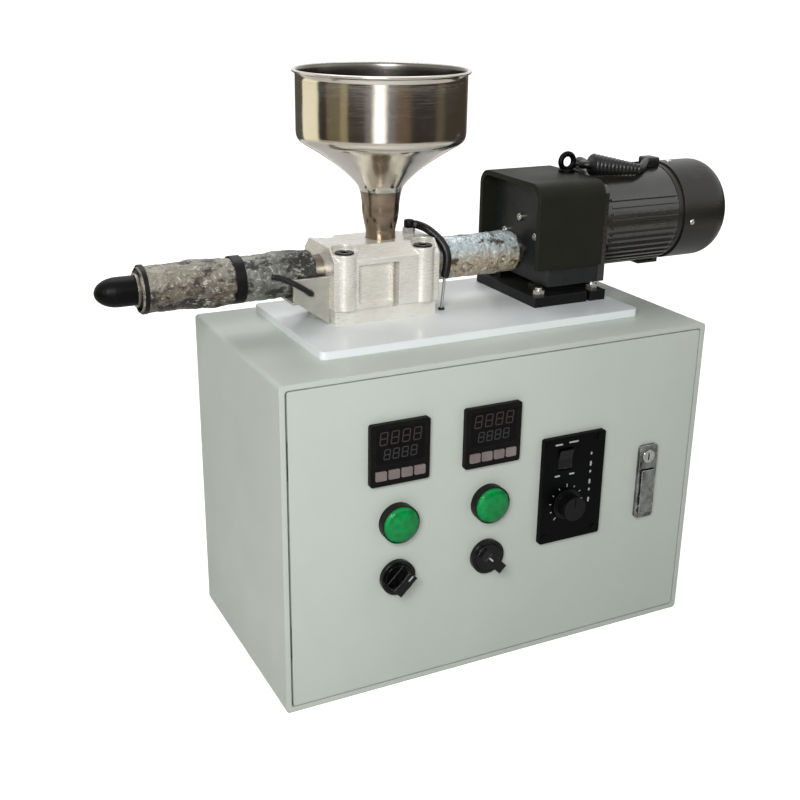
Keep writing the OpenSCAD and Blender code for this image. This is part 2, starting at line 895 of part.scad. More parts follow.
module feed_block() {
  front = axis_y - block_d / 2;
  back = axis_y + block_d / 2;
  foot_top = plate_top + foot_h;
  pillar_top = block_top - head_sink;
  color("#c2c3c0")
    difference() {
      union() {
        box(
          [block_left + foot_inset, front + foot_inset, plate_top],
          [block_right - foot_inset, back - foot_inset, foot_top]
        );
        along_x(block_left, axis_y, foot_top)
          linear_extrude(block_l)
            polygon([
              [-block_d / 2, 0], [block_d / 2, 0],
              [block_d / 2, block_top - foot_top - bevel],
              [block_d / 2 - bevel, block_top - foot_top],
              [bevel - block_d / 2, block_top - foot_top],
              [-block_d / 2, block_top - foot_top - bevel]
            ]);
        block_screw_places()
          translate([0, 0, foot_top])
            cylinder(r = pillar_r, h = pillar_top - foot_top);
      }
      // The pillars' tops are cut flat, and the screw heads are sunk in them
      block_screw_places() {
        translate([0, 0, pillar_top])
          cylinder(r = pillar_r, h = head_sink + overrun);
        translate([0, 0, pillar_top - head_h + head_proud])
          cylinder(r = head_r + fit_gap, h = head_h);
      }
      block_screw_places()
        translate([0, 0, plate_top - overrun])
          cylinder(r = bolt_r + fit_gap, h = block_h + 2 * overrun);
      // Waist and slot in the front and back faces
      for (s = [-1, 1]) {
        translate([0, axis_y + s * (block_d / 2), 0]) {
          box(
            [waist_x0, -waist_depth, foot_top + waist_depth],
            [waist_x1, waist_depth, block_top - bevel - waist_depth]
          );
          box(
            [slot_x - slot_w / 2, -slot_depth, foot_top - overrun],
            [slot_x + slot_w / 2, slot_depth, block_top - bevel - waist_depth]
          );
        }
      }
      // Barrel seat, bearing housing seat and feed throat
      along_x(block_left - overrun, axis_y, axis_z)
        cylinder(r = barrel_r + fit_gap, h = block_l + 2 * overrun);
      along_x(barrel_right, axis_y, axis_z)
        cylinder(r = housing_r + fit_gap, h = block_right - barrel_right + overrun);
      translate([hopper_x, axis_y, block_top - neck_depth])
        cylinder(r = neck_r + hopper_t + neck_socket_gap, h = neck_depth + overrun);
      translate([hopper_x, axis_y, axis_z])
        cylinder(r = socket_ledge_r, h = block_top - axis_z);
    }
}

module feed_block_screws() {
  head_z = block_top - head_sink - head_h + head_proud;
  color("#141414")
    block_screw_places()
      difference() {
        union() {
          translate([0, 0, cabinet_h])
            cylinder(r = bolt_r, h = head_z - cabinet_h);
          translate([0, 0, head_z])
            cylinder(r = head_r, h = head_h);
        }
        translate([0, 0, head_z + head_h - socket_d])
          cylinder(r = socket_r, h = socket_d + overrun, $fn = 6);
      }
}

// Barrel and what is on it

module barrel() {
  color("#8d8f90")
    difference() {
      along_x(barrel_left, axis_y, axis_z)
        ring(barrel_r, bore_r, barrel_right - barrel_left);
      translate([hopper_x, axis_y, axis_z])
        cylinder(r = feed_slot_r, h = barrel_r + overrun);
    }
}

module barrel_saddle() {
  drop = axis_z - saddle_in_r - saddle_t;
  color("#9b9e9f")
    difference() {
      union() {
        for (s = [-1, 1])
          to_front(0, axis_y + s * (saddle_in_r + saddle_t / 2) + saddle_t / 2, 0)
            linear_extrude(saddle_t)
              polygon([
                [block_left, plate_top], [block_left, axis_z],
                [block_left - saddle_l, axis_z],
                [block_left - saddle_l, axis_z - saddle_toe]
              ]);
        box(
          [block_left - saddle_l, axis_y - saddle_in_r, drop],
          [block_left, axis_y + saddle_in_r, drop + saddle_t]
        );
      }
      to_front(wire_hole_x, axis_y - saddle_in_r + overrun, wire_hole_z)
        cylinder(r = wire_hole_r, h = saddle_t + 2 * overrun);
    }
}

module nozzle() {
  dome_x = barrel_left - nozzle_l;
  straight_l = nozzle_l - nozzle_dome_l;
  dome_steps = 8;
  color("#17181a")
    difference() {
      union() {
        along_x(dome_x, axis_y, axis_z)
          rotate_extrude()
            polygon(concat(
              [[0, 0]],
              [for (i = [1 : dome_steps])
                let (a = 90 * i / dome_steps)
                [nozzle_r * sin(a), nozzle_dome_l * (1 - cos(a))]],
              [[nozzle_r, nozzle_l], [0, nozzle_l]]
            ));
        along_x(barrel_left, axis_y, axis_z)
          cylinder(r = nozzle_spigot_r, h = nozzle_spigot_l);
      }
      along_x(dome_x - overrun, axis_y, axis_z)
        cylinder(r = die_r, h = nozzle_l + 2 * overrun);
      along_x(dome_x + nozzle_dome_l, axis_y, axis_z)
        cylinder(r = melt_r, h = straight_l + nozzle_spigot_l + overrun);
    }
}

module heater_bands() {
  spans = [
    [front_lagging_x + heater_margin, front_lagging_l - 2 * heater_margin],
    [rear_lagging_x + heater_margin, rear_lagging_l - 2 * heater_margin]
  ];
  color("#a7a59c")
    for (s = spans)
      along_x(s[0], axis_y, axis_z)
        ring(heater_r, barrel_r + fit_gap, s[1]);
}

// One length of lagging: a sleeve with closed ends
module lagging(x, l) {
  along_x(x, axis_y, axis_z)
    difference() {
      cylinder(r = lagging_r, h = l);
      translate([0, 0, -overrun])
        cylinder(r = barrel_r + loose_gap, h = l + 2 * overrun);
      translate([0, 0, heater_margin - loose_gap])
        cylinder(r = lagging_in_r, h = l - 2 * (heater_margin - loose_gap));
    }
}

module barrel_lagging() {
  color("#a9a79c") {
    lagging(front_lagging_x, front_lagging_l);
    lagging(rear_lagging_x, rear_lagging_l);
  }
}

module lagging_straps() {
  spans = [
    [front_lagging_x + strap_w / 2, strap_w],
    [rear_lagging_x - (lagging_joint + joint_strap_w) / 2, joint_strap_w]
  ];
  color("#101010")
    for (s = spans)
      along_x(s[0], axis_y, axis_z)
        ring(lagging_r + fit_gap + strap_t, lagging_r + fit_gap, s[1]);
}

module bearing_housing() {
  color("#77797b")
    difference() {
      along_x(barrel_right, axis_y, axis_z)
        cylinder(r = housing_r, h = housing_right - barrel_right);
      along_x(bearing_x, axis_y, axis_z)
        cylinder(r = housing_bore_r, h = housing_right - bearing_x + overrun);
      along_x(barrel_right - overrun, axis_y, axis_z)
        cylinder(r = bore_r, h = housing_right - barrel_right + 2 * overrun);
    }
}

module bearing_lagging() {
  color("#b9bcbb")
    along_x(housing_lagging_x0, axis_y, axis_z)
      ring(
        housing_r + fit_gap + housing_lagging_t,
        housing_r + fit_gap,
        housing_lagging_x1 - housing_lagging_x0
      );
}

module thrust_bearing() {
  color("#b0b3b6")
    along_x(bearing_x, axis_y, axis_z)
      ring(housing_bore_r - run_gap, shank_r + run_gap, bearing_l);
}

// The flight is one closed ribbon of four corners, wound round the core
module screw_flight() {
  turns = (flight_right - flight_end - flight_left - flight_w) / screw_pitch;
  count = ceil(turns * flight_steps);
  corners = [
    [0, core_r - flight_bite], [0, screw_r],
    [flight_w, screw_r], [flight_w, core_r - flight_bite]
  ];
  points = [
    for (i = [0 : count], c = corners)
      let (a = 360 * turns * i / count)
      [flight_left + c[0] + screw_pitch * turns * i / count, c[1] * cos(a), c[1] * sin(a)]
  ];
  walls = [
    for (i = [0 : count - 1], k = [0 : 3])
      let (
        a = 4 * i + k,
        b = 4 * i + (k + 1) % 4,
        c = a + 4,
        d = b + 4
      )
      each [[a, b, c], [b, d, c]]
  ];
  translate([0, axis_y, axis_z])
    polyhedron(
      points = points,
      faces = concat(walls, [[3, 2, 1, 0]], [[4 * count, 4 * count + 1, 4 * count + 2, 4 * count + 3]]),
      convexity = 10
    );
}

module screw() {
  thrust_x = bearing_x + bearing_l + bearing_gap;
  color("#9fa1a3") {
    along_x(flight_left, axis_y, axis_z)
      cylinder(r = core_r, h = flight_right - flight_left);
    screw_flight();
    along_x(flight_right, axis_y, axis_z)
      cylinder(r = screw_plug_r, h = bearing_x - loose_gap - flight_right);
    along_x(bearing_x - loose_gap, axis_y, axis_z)
      cylinder(r = shank_r, h = screw_right - bearing_x + loose_gap);
    along_x(thrust_x, axis_y, axis_z)
      cylinder(r = collar_r, h = collar_l);
  }
}

module shaft_coupling() {
  color("#6f7173")
    along_x(coupling_x, axis_y, axis_z)
      difference() {
        cylinder(r = coupling_r, h = coupling_l);
        translate([0, 0, -overrun])
          cylinder(r = shank_r + fit_gap, h = screw_right - coupling_x + fit_gap + overrun);
        cylinder(r = out_shaft_r + fit_gap, h = coupling_l + overrun);
      }
}

// Hopper

module hopper() {
  flare_share = [[0.985, 0.965], [0.93, 0.925], [0.735, 0.83], [0.485, 0.69],
           [0.30, 0.55], [0.24, 0.465], [0.212, 0.35], [0.20, 0.22]];
  socket_z = block_top - neck_depth;
  wall_z = block_top + cone_h;
  rim_z = wall_z + bowl_h;
  inner = concat(
    [[neck_r, socket_z], [neck_r, block_top]],
    [for (i = [len(flare_share) - 1 : -1 : 0])
      [bowl_r * flare_share[i][0], block_top + cone_h * flare_share[i][1]]],
    [[bowl_r, wall_z + hopper_t], [bowl_r, rim_z]]
  );
  outer = [for (i = [len(inner) - 1 : -1 : 0])
    [inner[i][0] + hopper_t, i < 2 ? inner[i][1] : inner[i][1] - (i < len(inner) - 2 ? hopper_t : 0)]];
  lip = [
    [bowl_r + lip_w, rim_z + hopper_t],
    [bowl_r + lip_w + hopper_t, rim_z],
    [bowl_r + lip_w, rim_z - hopper_t],
    [bowl_r + hopper_t, rim_z - hopper_t]
  ];
  color("#b8b5ae")
    translate([hopper_x, axis_y, 0])
      rotate_extrude($fn = 96)
        polygon(concat(inner, lip, [for (i = [1 : len(outer) - 1]) outer[i]]));
}

// Gearbox, bracket and hood

module motor_bracket() {
  front = axis_y - bracket_half_w;
  back = axis_y + bracket_half_w;
  foot_l = 2 * bracket_bolt_inset;
  color("#141516")
    difference() {
      union() {
        box([hood_x, front, plate_top], [hood_x + bracket_l, back, plate_top + bracket_t]);
        for (y = [front + foot_l, back - foot_l - bracket_rib_t])
          box(
            [hood_x + bracket_rib_t, y, plate_top + bracket_t],
            [hood_x + bracket_l, y + bracket_rib_t, gearbox_bottom]
          );
      }
      bracket_bolt_places()
        translate([0, 0, plate_top - overrun])
          cylinder(r = bracket_bolt_r + fit_gap, h = bracket_t + 2 * overrun);
      translate([hood_x + bracket_notch_x, 0, 0])
        for (y = [front - overrun, back - foot_l])
          box(
            [-bracket_notch_w / 2, y, plate_top - overrun],
            [bracket_notch_w / 2, y + foot_l + overrun, plate_top + bracket_t + overrun]
          );
    }
}

// Outline of the hood seen along the barrel, with its two upper corners rounded
module hood_outline(w, top, low, r) {
  square_top = top - r;
  translate([-w / 2, low])
    square([w, square_top - low]);
  translate([r - w / 2, square_top - overrun])
    square([w - 2 * r, r + overrun]);
  for (s = [-1, 1])
    translate([s * (w / 2 - r), square_top])
      circle(r);
}

module motor_hood() {
  low = plate_top + hood_skirt;
  color("#26261f")
    difference() {
      along_x(hood_x, axis_y, 0)
        linear_extrude(hood_l)
          hood_outline(hood_w, hood_top, low, hood_corner_r);
      along_x(hood_x - overrun, axis_y, 0)
        linear_extrude(hood_l + 2 * overrun)
          hood_outline(
            hood_w - 2 * hood_t,
            hood_top - hood_t,
            low - overrun,
            hood_corner_r - hood_t
          );
    }
}

module bracket_bolts() {
  color("silver")
    bracket_bolt_places() {
      translate([0, 0, cabinet_h])
        cylinder(
          r = bracket_bolt_r,
          h = plate_t + bracket_t + bracket_nut_h + bracket_stud_end
        );
      translate([0, 0, plate_top + bracket_t])
        cylinder(r = bracket_nut_r, h = bracket_nut_h, $fn = 6);
    }
}

module gearbox_case() {
  color("#3c3e3f")
    difference() {
      along_x(gearbox_left, axis_y, 0)
        linear_extrude(gearbox_l)
          hood_outline(2 * gearbox_half_w, gearbox_top, gearbox_bottom, gearbox_corner_r);
      difference() {
        along_x(gearbox_left + gearbox_wall, axis_y, 0)
          linear_extrude(gearbox_l)
            hood_outline(
              2 * (gearbox_half_w - gearbox_wall),
              gearbox_top - gearbox_wall,
              gearbox_bottom + gearbox_wall,
              gearbox_corner_r / 2
            );
        along_x(gearbox_left, axis_y, axis_z)
          cylinder(r = boss_r, h = boss_l);
        along_x(gearbox_left, idler_y, idler_z)
          cylinder(r = 2 * gear_shaft_r, h = boss_l);
      }
      along_x(gearbox_left - overrun, axis_y, axis_z)
        cylinder(r = out_shaft_r + run_gap, h = boss_l + 2 * overrun);
      along_x(gearbox_left + gearbox_wall / 2, idler_y, idler_z)
        cylinder(r = gear_shaft_r + run_gap, h = boss_l);
    }
}

// Angles between the gears' centres, seen along the barrel
idler_angle = atan2(idler_z - motor_z, idler_y - axis_y);
output_angle = atan2(axis_z - idler_z, axis_y - idler_y);
motor_phase = idler_angle;
idler_phase = meshing_phase(idler_angle, motor_phase, pinion_teeth, wheel_teeth);
idler_pinion_phase = output_angle;
output_phase = meshing_phase(output_angle, idler_pinion_phase, pinion_teeth, wheel_teeth);

module motor_rotor() {
  shaft_x0 = motor_left + front_wall_t + shaft_step;
  color("#8a8c8e") {
    along_x(stage_one_x - pinion_extra, axis_y, motor_z)
      gear(pinion_teeth, motor_phase, stage_one_l + 2 * pinion_extra);
    along_x(stage_one_x + stage_one_l, axis_y, motor_z)
      cylinder(r = gear_shaft_r, h = shaft_x0 - stage_one_x - stage_one_l);
    along_x(shaft_x0, axis_y, motor_z)
      cylinder(r = shaft_r, h = fan_x + fan_l - shaft_x0);
    along_x(stator_x0 + rotor_inset, axis_y, motor_z)
      cylinder(r = rotor_r, h = stator_l - 2 * rotor_inset);
  }
}

module idler_gears() {
  shaft_x0 = gearbox_left + gearbox_wall / 2 + loose_gap;
  shaft_x1 = motor_left + front_wall_t / 2 - loose_gap;
  color("#a08a55") {
    along_x(stage_one_x, idler_y, idler_z)
      gear(wheel_teeth, idler_phase, stage_one_l);
    along_x(stage_two_x - pinion_extra, idler_y, idler_z)
      gear(pinion_teeth, idler_pinion_phase, stage_two_l + 2 * pinion_extra);
    along_x(shaft_x0, idler_y, idler_z)
      cylinder(r = gear_shaft_r, h = shaft_x1 - shaft_x0);
  }
}

module output_shaft() {
  shaft_x0 = screw_right + loose_gap;
  color("#8f9193") {
    along_x(stage_two_x, axis_y, axis_z)
      gear(wheel_teeth, output_phase, stage_two_l);
    along_x(shaft_x0, axis_y, axis_z)
      cylinder(r = out_shaft_r, h = stage_two_x + stage_two_l - shaft_x0);
  }
}

// Motor

module motor_housing() {
  color("#2b2b27")
    difference() {
      union() {
        along_x(motor_left, axis_y, motor_z)
          cylinder(r = motor_r, h = motor_l);
        along_x(motor_left, axis_y, 0)
          linear_extrude(flange_l)
            hood_outline(
              2 * gearbox_half_w,
              gearbox_top,
              gearbox_bottom,
              gearbox_corner_r
            );
        for (i = [0 : rib_count - 1])
          let (a = 360 * (i + 0.5) / rib_count)
            if (a < plain_from || a > plain_to)
              along_x(motor_left + rib_skip_x, axis_y, motor_z)
                rotate([0, 0, a])
                  translate([motor_r - rib_h, -rib_w / 2, 0])
                    cube([2 * rib_h, rib_w, motor_l - rib_skip_x - rib_stop_x]);
      }
      along_x(motor_left + front_wall_t, axis_y, motor_z)
        cylinder(r = motor_r - motor_wall, h = motor_l);
      along_x(motor_left - overrun, axis_y, motor_z)
        cylinder(r = gear_shaft_r + run_gap, h = front_wall_t + 2 * overrun);
      along_x(motor_left - overrun, idler_y, idler_z)
        cylinder(r = gear_shaft_r + run_gap, h = front_wall_t / 2 + overrun);
    }
}

module motor_end_bell() {
  color("#1a1a19")
    difference() {
      union() {
        along_x(motor_right, axis_y, motor_z)
          cylinder(r = end_bell_r, h = end_bell_l);
        box(
          [motor_right, axis_y - lug_w / 2, motor_z - end_bell_r - lug_h / 2],
          [motor_right + end_bell_l, axis_y + lug_w / 2, motor_z - end_bell_r + lug_h]
        );
        box(
          [motor_right + end_bell_l - lug_l, axis_y - lug_w / 2, motor_z - end_bell_r - lug_h / 2],
          [motor_right + end_bell_l, axis_y + lug_w / 2, motor_z - motor_r - rib_h - loose_gap]
        );
      }
      along_x(motor_right - overrun, axis_y, motor_z)
        cylinder(r = shaft_r + run_gap, h = end_bell_l + 2 * overrun);
    }
}

// Half outline of the fan cover: a tube whose closed end is rounded
module fan_cover_profile(r, l, end_r) {
  square([r, l - end_r]);
  square([r - end_r, l]);
  translate([r - end_r, l - end_r])
    intersection() {
      circle(end_r);
      square([end_r, end_r]);
    }
}

module fan_cover() {
  pitch = (fan_cover_r - fan_cover_end_r - grille_hub_r) / grille_rings;
  color("#232420")
    difference() {
      along_x(fan_cover_x, axis_y, motor_z)
        rotate_extrude()
          fan_cover_profile(fan_cover_r, fan_cover_l, fan_cover_end_r);
      along_x(fan_cover_x - overrun, axis_y, motor_z)
        rotate_extrude()
          fan_cover_profile(
            fan_cover_r - fan_cover_t,
            fan_cover_l - fan_cover_t + overrun,
            fan_cover_end_r - fan_cover_t
          );
      difference() {
        for (i = [0 : grille_rings - 1])
          along_x(fan_cover_right - fan_cover_t - overrun, axis_y, motor_z)
            ring(
              grille_hub_r + i * pitch + grille_slot,
              grille_hub_r + i * pitch,
              fan_cover_t + 2 * overrun
            );
        for (i = [0 : grille_spokes / 2 - 1])
          along_x(fan_cover_right - fan_cover_t - 2 * overrun, axis_y, motor_z)
            rotate([0, 0, 360 * i / grille_spokes])
              translate([-fan_cover_r, -spoke_w / 2, 0])
                cube([2 * fan_cover_r, spoke_w, fan_cover_t + 4 * overrun]);
      }
    }
}

module motor_stator() {
  color("#8b6f4a")
    along_x(stator_x0, axis_y, motor_z)
      ring(stator_r, rotor_r + air_gap, stator_l);
}

module cooling_fan() {
  color("#d8d6cf")
    along_x(fan_x, axis_y, motor_z)
      difference() {
        union() {
          cylinder(r = fan_hub_r, h = fan_l);
          cylinder(r = fan_r, h = fan_disc_t);
          for (i = [0 : fan_blades - 1])
            rotate([0, 0, 360 * i / fan_blades])
              translate([0, -fan_blade_t / 2, 0])
                cube([fan_r - fan_rim, fan_blade_t, fan_l]);
        }
        translate([0, 0, -overrun])
          cylinder(r = shaft_r + fit_gap, h = fan_l + 2 * overrun);
      }
}

module lifting_eye() {
  ring_z = hood_top + eye_base_h + eye_r + eye_wire_r - eye_sink;
  color("#0f1010") {
    translate([eye_x, axis_y, hood_top])
      cylinder(r = eye_base_r, h = eye_base_h);
    translate([eye_x, axis_y, ring_z])
      rotate([90, 0, 0])
        rotate_extrude()
          translate([eye_r, 0])
            circle(eye_wire_r);
  }
}

// Half outline of the ribbed sleeve: its ribs are as wide as its grooves
function sleeve_profile(l) = concat(
  [[0, 0]],
  [for (i = [0 : 2 * sleeve_ribs], side = [0, 1])
    let (
      share = min((i + side) / (2 * sleeve_ribs + 1), 1),
      r = sleeve_r0 + (sleeve_r1 - sleeve_r0) * share
    )
    [i % 2 == 0 ? r : r - sleeve_groove, l * share]],
  [[0, l]]
);

module motor_lead() {
  run = sleeve_to - sleeve_from;
  color("#111111") {
    translate([lead_box_x, axis_y - lead_box_w / 2 - lead_r, motor_z + motor_r])
      cube([lead_box_l, lead_box_w, lead_box_h]);
    translate([motor_left, axis_y, motor_z]) {
      translate(sleeve_from)
        rotate([0, acos(run[2] / norm(run)), atan2(run[1], run[0])])
          rotate_extrude()
            polygon(sleeve_profile(norm(run)));
      route_tube(lead_start_points, lead_r, lead_sides);
      route_tube(lead_points, lead_r, lead_sides);
    }
  }
}

module sensor_leads() {
  color("#0d0d0d") {
    translate([block_x, axis_y, block_top]) {
      translate([probe_dx, probe_dy, 0])
        cylinder(r = probe_hex_r, h = probe_hex_h, $fn = 6);
      translate([probe_dx, probe_dy, probe_hex_h])
        cylinder(r = probe_r, h = probe_h - probe_hex_h);
      route_tube(sensor_lead_points, sensor_lead_r, lead_sides);
      route_tube(rod_points, rod_r, rod_sides);
    }
    translate([sensor_hole_x, sensor_hole_y, plate_top])
      cylinder(r = grommet_r, h = grommet_h);
    translate([block_left, axis_y, axis_z])
      route_tube(wire_points, wire_r, wire_sides);
  }
}

// Door and what is in it

module door() {
  low_y = front_y + door_d;
  notch_half = knuckle_l / 2 + hinge_arm_t + loose_gap + notch_play;
  color("#b9c1b6") {
    difference() {
      to_front(door_x, low_y, door_mid_z)
        linear_extrude(door_d)
          rounded_rect(door_w, door_h, door_r);
      box(
        [door_x + sheet_t - door_w / 2, front_y + sheet_t, door_mid_z - door_h / 2 + sheet_t],
        [door_x + door_w / 2 - sheet_t, low_y + overrun, door_mid_z + door_h / 2 - sheet_t]
      );
      // The folded edge is cut away where the hinge arms swing through it
      for (s = [-1, 1])
        translate([door_x - door_w / 2, 0, door_mid_z + s * hinge_rise])
          box(
            [-overrun, front_y + sheet_t, -notch_half],
            [2 * sheet_t, low_y + overrun, notch_half]
          );
      for (x = [left_column_x, right_column_x]) {
        to_front(x, front_y + sheet_t + overrun, controller_z)
          linear_extrude(sheet_t + 2 * overrun)
            square(controller_body_w + 2 * fit_gap, center = true);
        for (z = [lamp_z, selector_z])
          to_front(x, front_y + sheet_t + overrun, z)
            cylinder(r = panel_hole_r + fit_gap, h = sheet_t + 2 * overrun);
      }
      to_front(speed_x, front_y + sheet_t + overrun, speed_z)
        linear_extrude(sheet_t + 2 * overrun)
          square([
            speed_w - 2 * speed_body_margin + 2 * fit_gap,
            speed_h - 2 * speed_body_margin + 2 * fit_gap
          ], center = true);
      to_front(lock_x, front_y + sheet_t + overrun, lock_z)
        linear_extrude(sheet_t + 2 * overrun)
          square([lock_w - lock_wall + 2 * fit_gap, lock_h - lock_wall + 2 * fit_gap], center = true);
    }
    hinge_places()
      difference() {
        union() {
          cylinder(r = knuckle_r, h = knuckle_l, center = true);
          translate([-knuckle_r, front_y + sheet_t - hinge_y, -knuckle_l / 2])
            cube([2 * knuckle_r, knuckle_r, knuckle_l]);
        }
        cylinder(r = hinge_pin_r + run_gap, h = knuckle_l + 2 * overrun, center = true);
      }
  }
}

module door_gasket() {
  outer_w = -2 * (hinge_x + loose_gap);
  outer_h = cabinet_h - 2 * (rim_w + frame_w / 2) + gasket_w;
  color("#1b1b1b")
    difference() {
      to_front(0, frame_y - gasket_gap, door_mid_z)
        linear_extrude(recess_d - sheet_t - gasket_gap)
          rounded_rect(outer_w, outer_h, door_r);
      to_front(0, frame_y + overrun, door_mid_z)
        linear_extrude(recess_d + overrun)
          rounded_rect(outer_w - 2 * gasket_w, outer_h - 2 * gasket_w, door_r);
      // The seal is cut short of the hinge knuckles
      hinge_places()
        cylinder(
          r = knuckle_r + hinge_arm_x + hinge_arm_w + notch_play,
          h = knuckle_l + 2 * (hinge_arm_t + notch_play),
          center = true
        );
      for (s = [-1, 1])
        translate([hinge_x, 0, door_mid_z + s * hinge_rise])
          box(
            [-gasket_w, front_y, -knuckle_l / 2 - hinge_arm_t - notch_play],
            [2 * gasket_w, frame_y + overrun, knuckle_l / 2 + hinge_arm_t + notch_play]
          );
    }
}

module controller_keys_at(x) {
  for (i = [0 : key_count - 1])
    translate([
      x + (i - (key_count - 1) / 2) * key_pitch,
      0,
      controller_z - controller_w / 2 + key_rise
    ])
      children();
}

module controller_window_at(x, extra, t) {
  top = controller_z + controller_w / 2 - window_drop;
  to_front(x, front_y - controller_proud + t, top - window_h / 2)
    linear_extrude(t + extra)
      square([controller_w - 2 * window_margin, window_h], center = true);
}

module controller_cases() {
  color("#15130f")
    for (x = [left_column_x, right_column_x])
      difference() {
        union() {
          to_front(x, front_y, controller_z)
            linear_extrude(controller_proud)
              rounded_rect(controller_w, controller_w, bezel_r);
          to_front(x, front_y + controller_depth, controller_z)
            linear_extrude(controller_depth)
              square(controller_body_w, center = true);
        }
        controller_window_at(x, overrun, window_t);
        controller_keys_at(x)
          to_front(0, front_y - controller_proud + key_t - key_proud + key_travel + key_play, 0)
            linear_extrude(key_t + overrun)
              square([key_w + 2 * key_play, key_h + 2 * key_play], center = true);
      }
}

module controller_windows() {
  color("#060607")
    for (x = [left_column_x, right_column_x])
      controller_window_at(x, 0, window_t);
}

module controller_key(x, i) {
  color("#8d8784")
    translate([
      x + (i - (key_count - 1) / 2) * key_pitch,
      front_y - controller_proud + key_t - key_proud,
      controller_z - controller_w / 2 + key_rise
    ])
      rotate([90, 0, 0])
        linear_extrude(key_t)
          rounded_rect(key_w, key_h, key_r);
}

module lamp_collars() {
  color("#0e100f")
    for (x = [left_column_x, right_column_x])
      difference() {
        union() {
          to_front(x, front_y, lamp_z)
            cylinder(r = lamp_r, h = lamp_collar_h);
          to_front(x, front_y + lamp_body_l, lamp_z)
            cylinder(r = panel_hole_r, h = lamp_body_l);
        }
        to_front(x, front_y - lamp_collar_h + lens_seat, lamp_z)
          cylinder(r = lens_r + fit_gap, h = lens_seat + overrun);
      }
}

module lamp_lenses() {
  dome_steps = 6;
  color("#0b9a52")
    for (x = [left_column_x, right_column_x])
      to_front(x, front_y - lamp_collar_h + lens_seat, lamp_z)
        rotate_extrude()
          polygon(concat(
            [[0, 0], [lens_r, 0], [lens_r, lens_seat]],
            [for (i = [1 : dome_steps])
              let (a = 90 * i / dome_steps)
              [lens_r * cos(a), lens_seat + lens_h * sin(a)]]
          ));
}

module selector_bases() {
  color("#c7c9ca")
    for (x = [left_column_x, right_column_x])
      difference() {
        union() {
          to_front(x, front_y, selector_z)
            cylinder(r = selector_r, h = selector_ring_h);
          to_front(x, front_y + selector_body_l, selector_z)
            cylinder(r = panel_hole_r, h = selector_body_l);
        }
        to_front(x, front_y - selector_ring_h + knob_base_h, selector_z)
          cylinder(r = knob_r + loose_gap, h = knob_base_h + overrun);
        to_front(x, front_y - selector_ring_h + knob_base_h + knob_stem_l, selector_z)
          cylinder(r = knob_stem_r + run_gap, h = knob_stem_l + overrun);
      }
}

module selector_knob(x, angle) {
  color("#090909")
    to_front(x, front_y - selector_ring_h + knob_base_h - knob_gap, selector_z)
      rotate([0, 0, angle]) {
        cylinder(r = knob_r, h = knob_base_h);
        translate([0, 0, -knob_stem_l + loose_gap])
          cylinder(r = knob_stem_r, h = knob_stem_l);
        translate([-grip_w / 2, grip_inset - knob_r, 0])
          cube([grip_w, 2 * (knob_r - grip_inset), knob_base_h + grip_h]);
      }
}

module speed_controller() {
  color("#0c0d0e")
    difference() {
      union() {
        to_front(speed_x, front_y, speed_z)
          linear_extrude(speed_t)
            rounded_rect(speed_w, speed_h, bezel_r);
        to_front(speed_x, front_y + speed_body_d, speed_z)
          linear_extrude(speed_body_d)
            square([
              speed_w - 2 * speed_body_margin,
              speed_h - 2 * speed_body_margin
            ], center = true);
        for (sx = [-1, 1], sz = [-1, 1])
          to_front(
            speed_x + sx * (speed_w / 2 - face_screw_inset),
            front_y - speed_t,
            speed_z + sz * (speed_h / 2 - face_screw_inset)
          )
            cylinder(r = face_screw_r, h = face_screw_h);
      }
      to_front(speed_x + speed_knob_x, front_y - speed_t + speed_stem_l, speed_z + speed_knob_z)
        cylinder(r = speed_stem_r + run_gap, h = speed_stem_l + overrun);
      translate([speed_x + rocker_x, front_y - speed_t, speed_z + rocker_z])
        box(
          [-rocker_w / 2 - loose_gap, -overrun, -rocker_h / 2 - rocker_play],
          [rocker_w / 2 + loose_gap, rocker_d + rocker_proud, rocker_h / 2 + rocker_play]
        );
      rocker_pins(loose_gap + rocker_pin_l, rocker_pin_r + run_gap);
    }
}

// Pins on both sides of the rocker, or their holes
module rocker_pins(reach, r) {
  translate([speed_x + rocker_x, front_y - speed_t + rocker_pin_y, speed_z + rocker_z])
    rotate([0, 90, 0])
      cylinder(r = r, h = rocker_w + 2 * reach, center = true);
}

module speed_knob() {
  color("#161616")
    to_front(speed_x + speed_knob_x, front_y - speed_t - loose_gap, speed_z + speed_knob_z) {
      cylinder(r = speed_knob_skirt_r, h = speed_knob_skirt_h);
      // The pointer is a groove in the knob's face
      difference() {
        cylinder(r = speed_knob_r, h = speed_knob_h);
        translate([-pointer_w / 2, 0, speed_knob_h - pointer_d])
          cube([pointer_w, speed_knob_r + overrun, pointer_d + overrun]);
      }
      translate([0, 0, loose_gap - speed_stem_l + loose_gap])
        cylinder(r = speed_stem_r, h = speed_stem_l);
    }
}

// The rocker's face is a shallow V, so that one end stands out at each position
module run_switch() {
  color("#1d1d1f") {
    rocker_pins(rocker_pin_l, rocker_pin_r);
    translate([speed_x + rocker_x - rocker_w / 2, front_y - speed_t, speed_z + rocker_z])
      rotate([90, 0, 90])
        linear_extrude(rocker_w)
          polygon([
            [-rocker_proud, rocker_h / 2], [0, 0], [0, -rocker_h / 2],
            [rocker_d / 2, -rocker_h / 4], [rocker_d / 2, rocker_h / 4]
          ]);
  }
}

lock_face_y = front_y - lock_t;
cylinder_z = lock_z + lock_h / 2 - 2 * lock_wall - key_cylinder_r;
handle_low = lock_z - lock_h / 2 + 2 * lock_wall;
handle_pin_y = lock_face_y - handle_proud + handle_t / 2;
handle_pin_z = handle_low + handle_pin_rise;

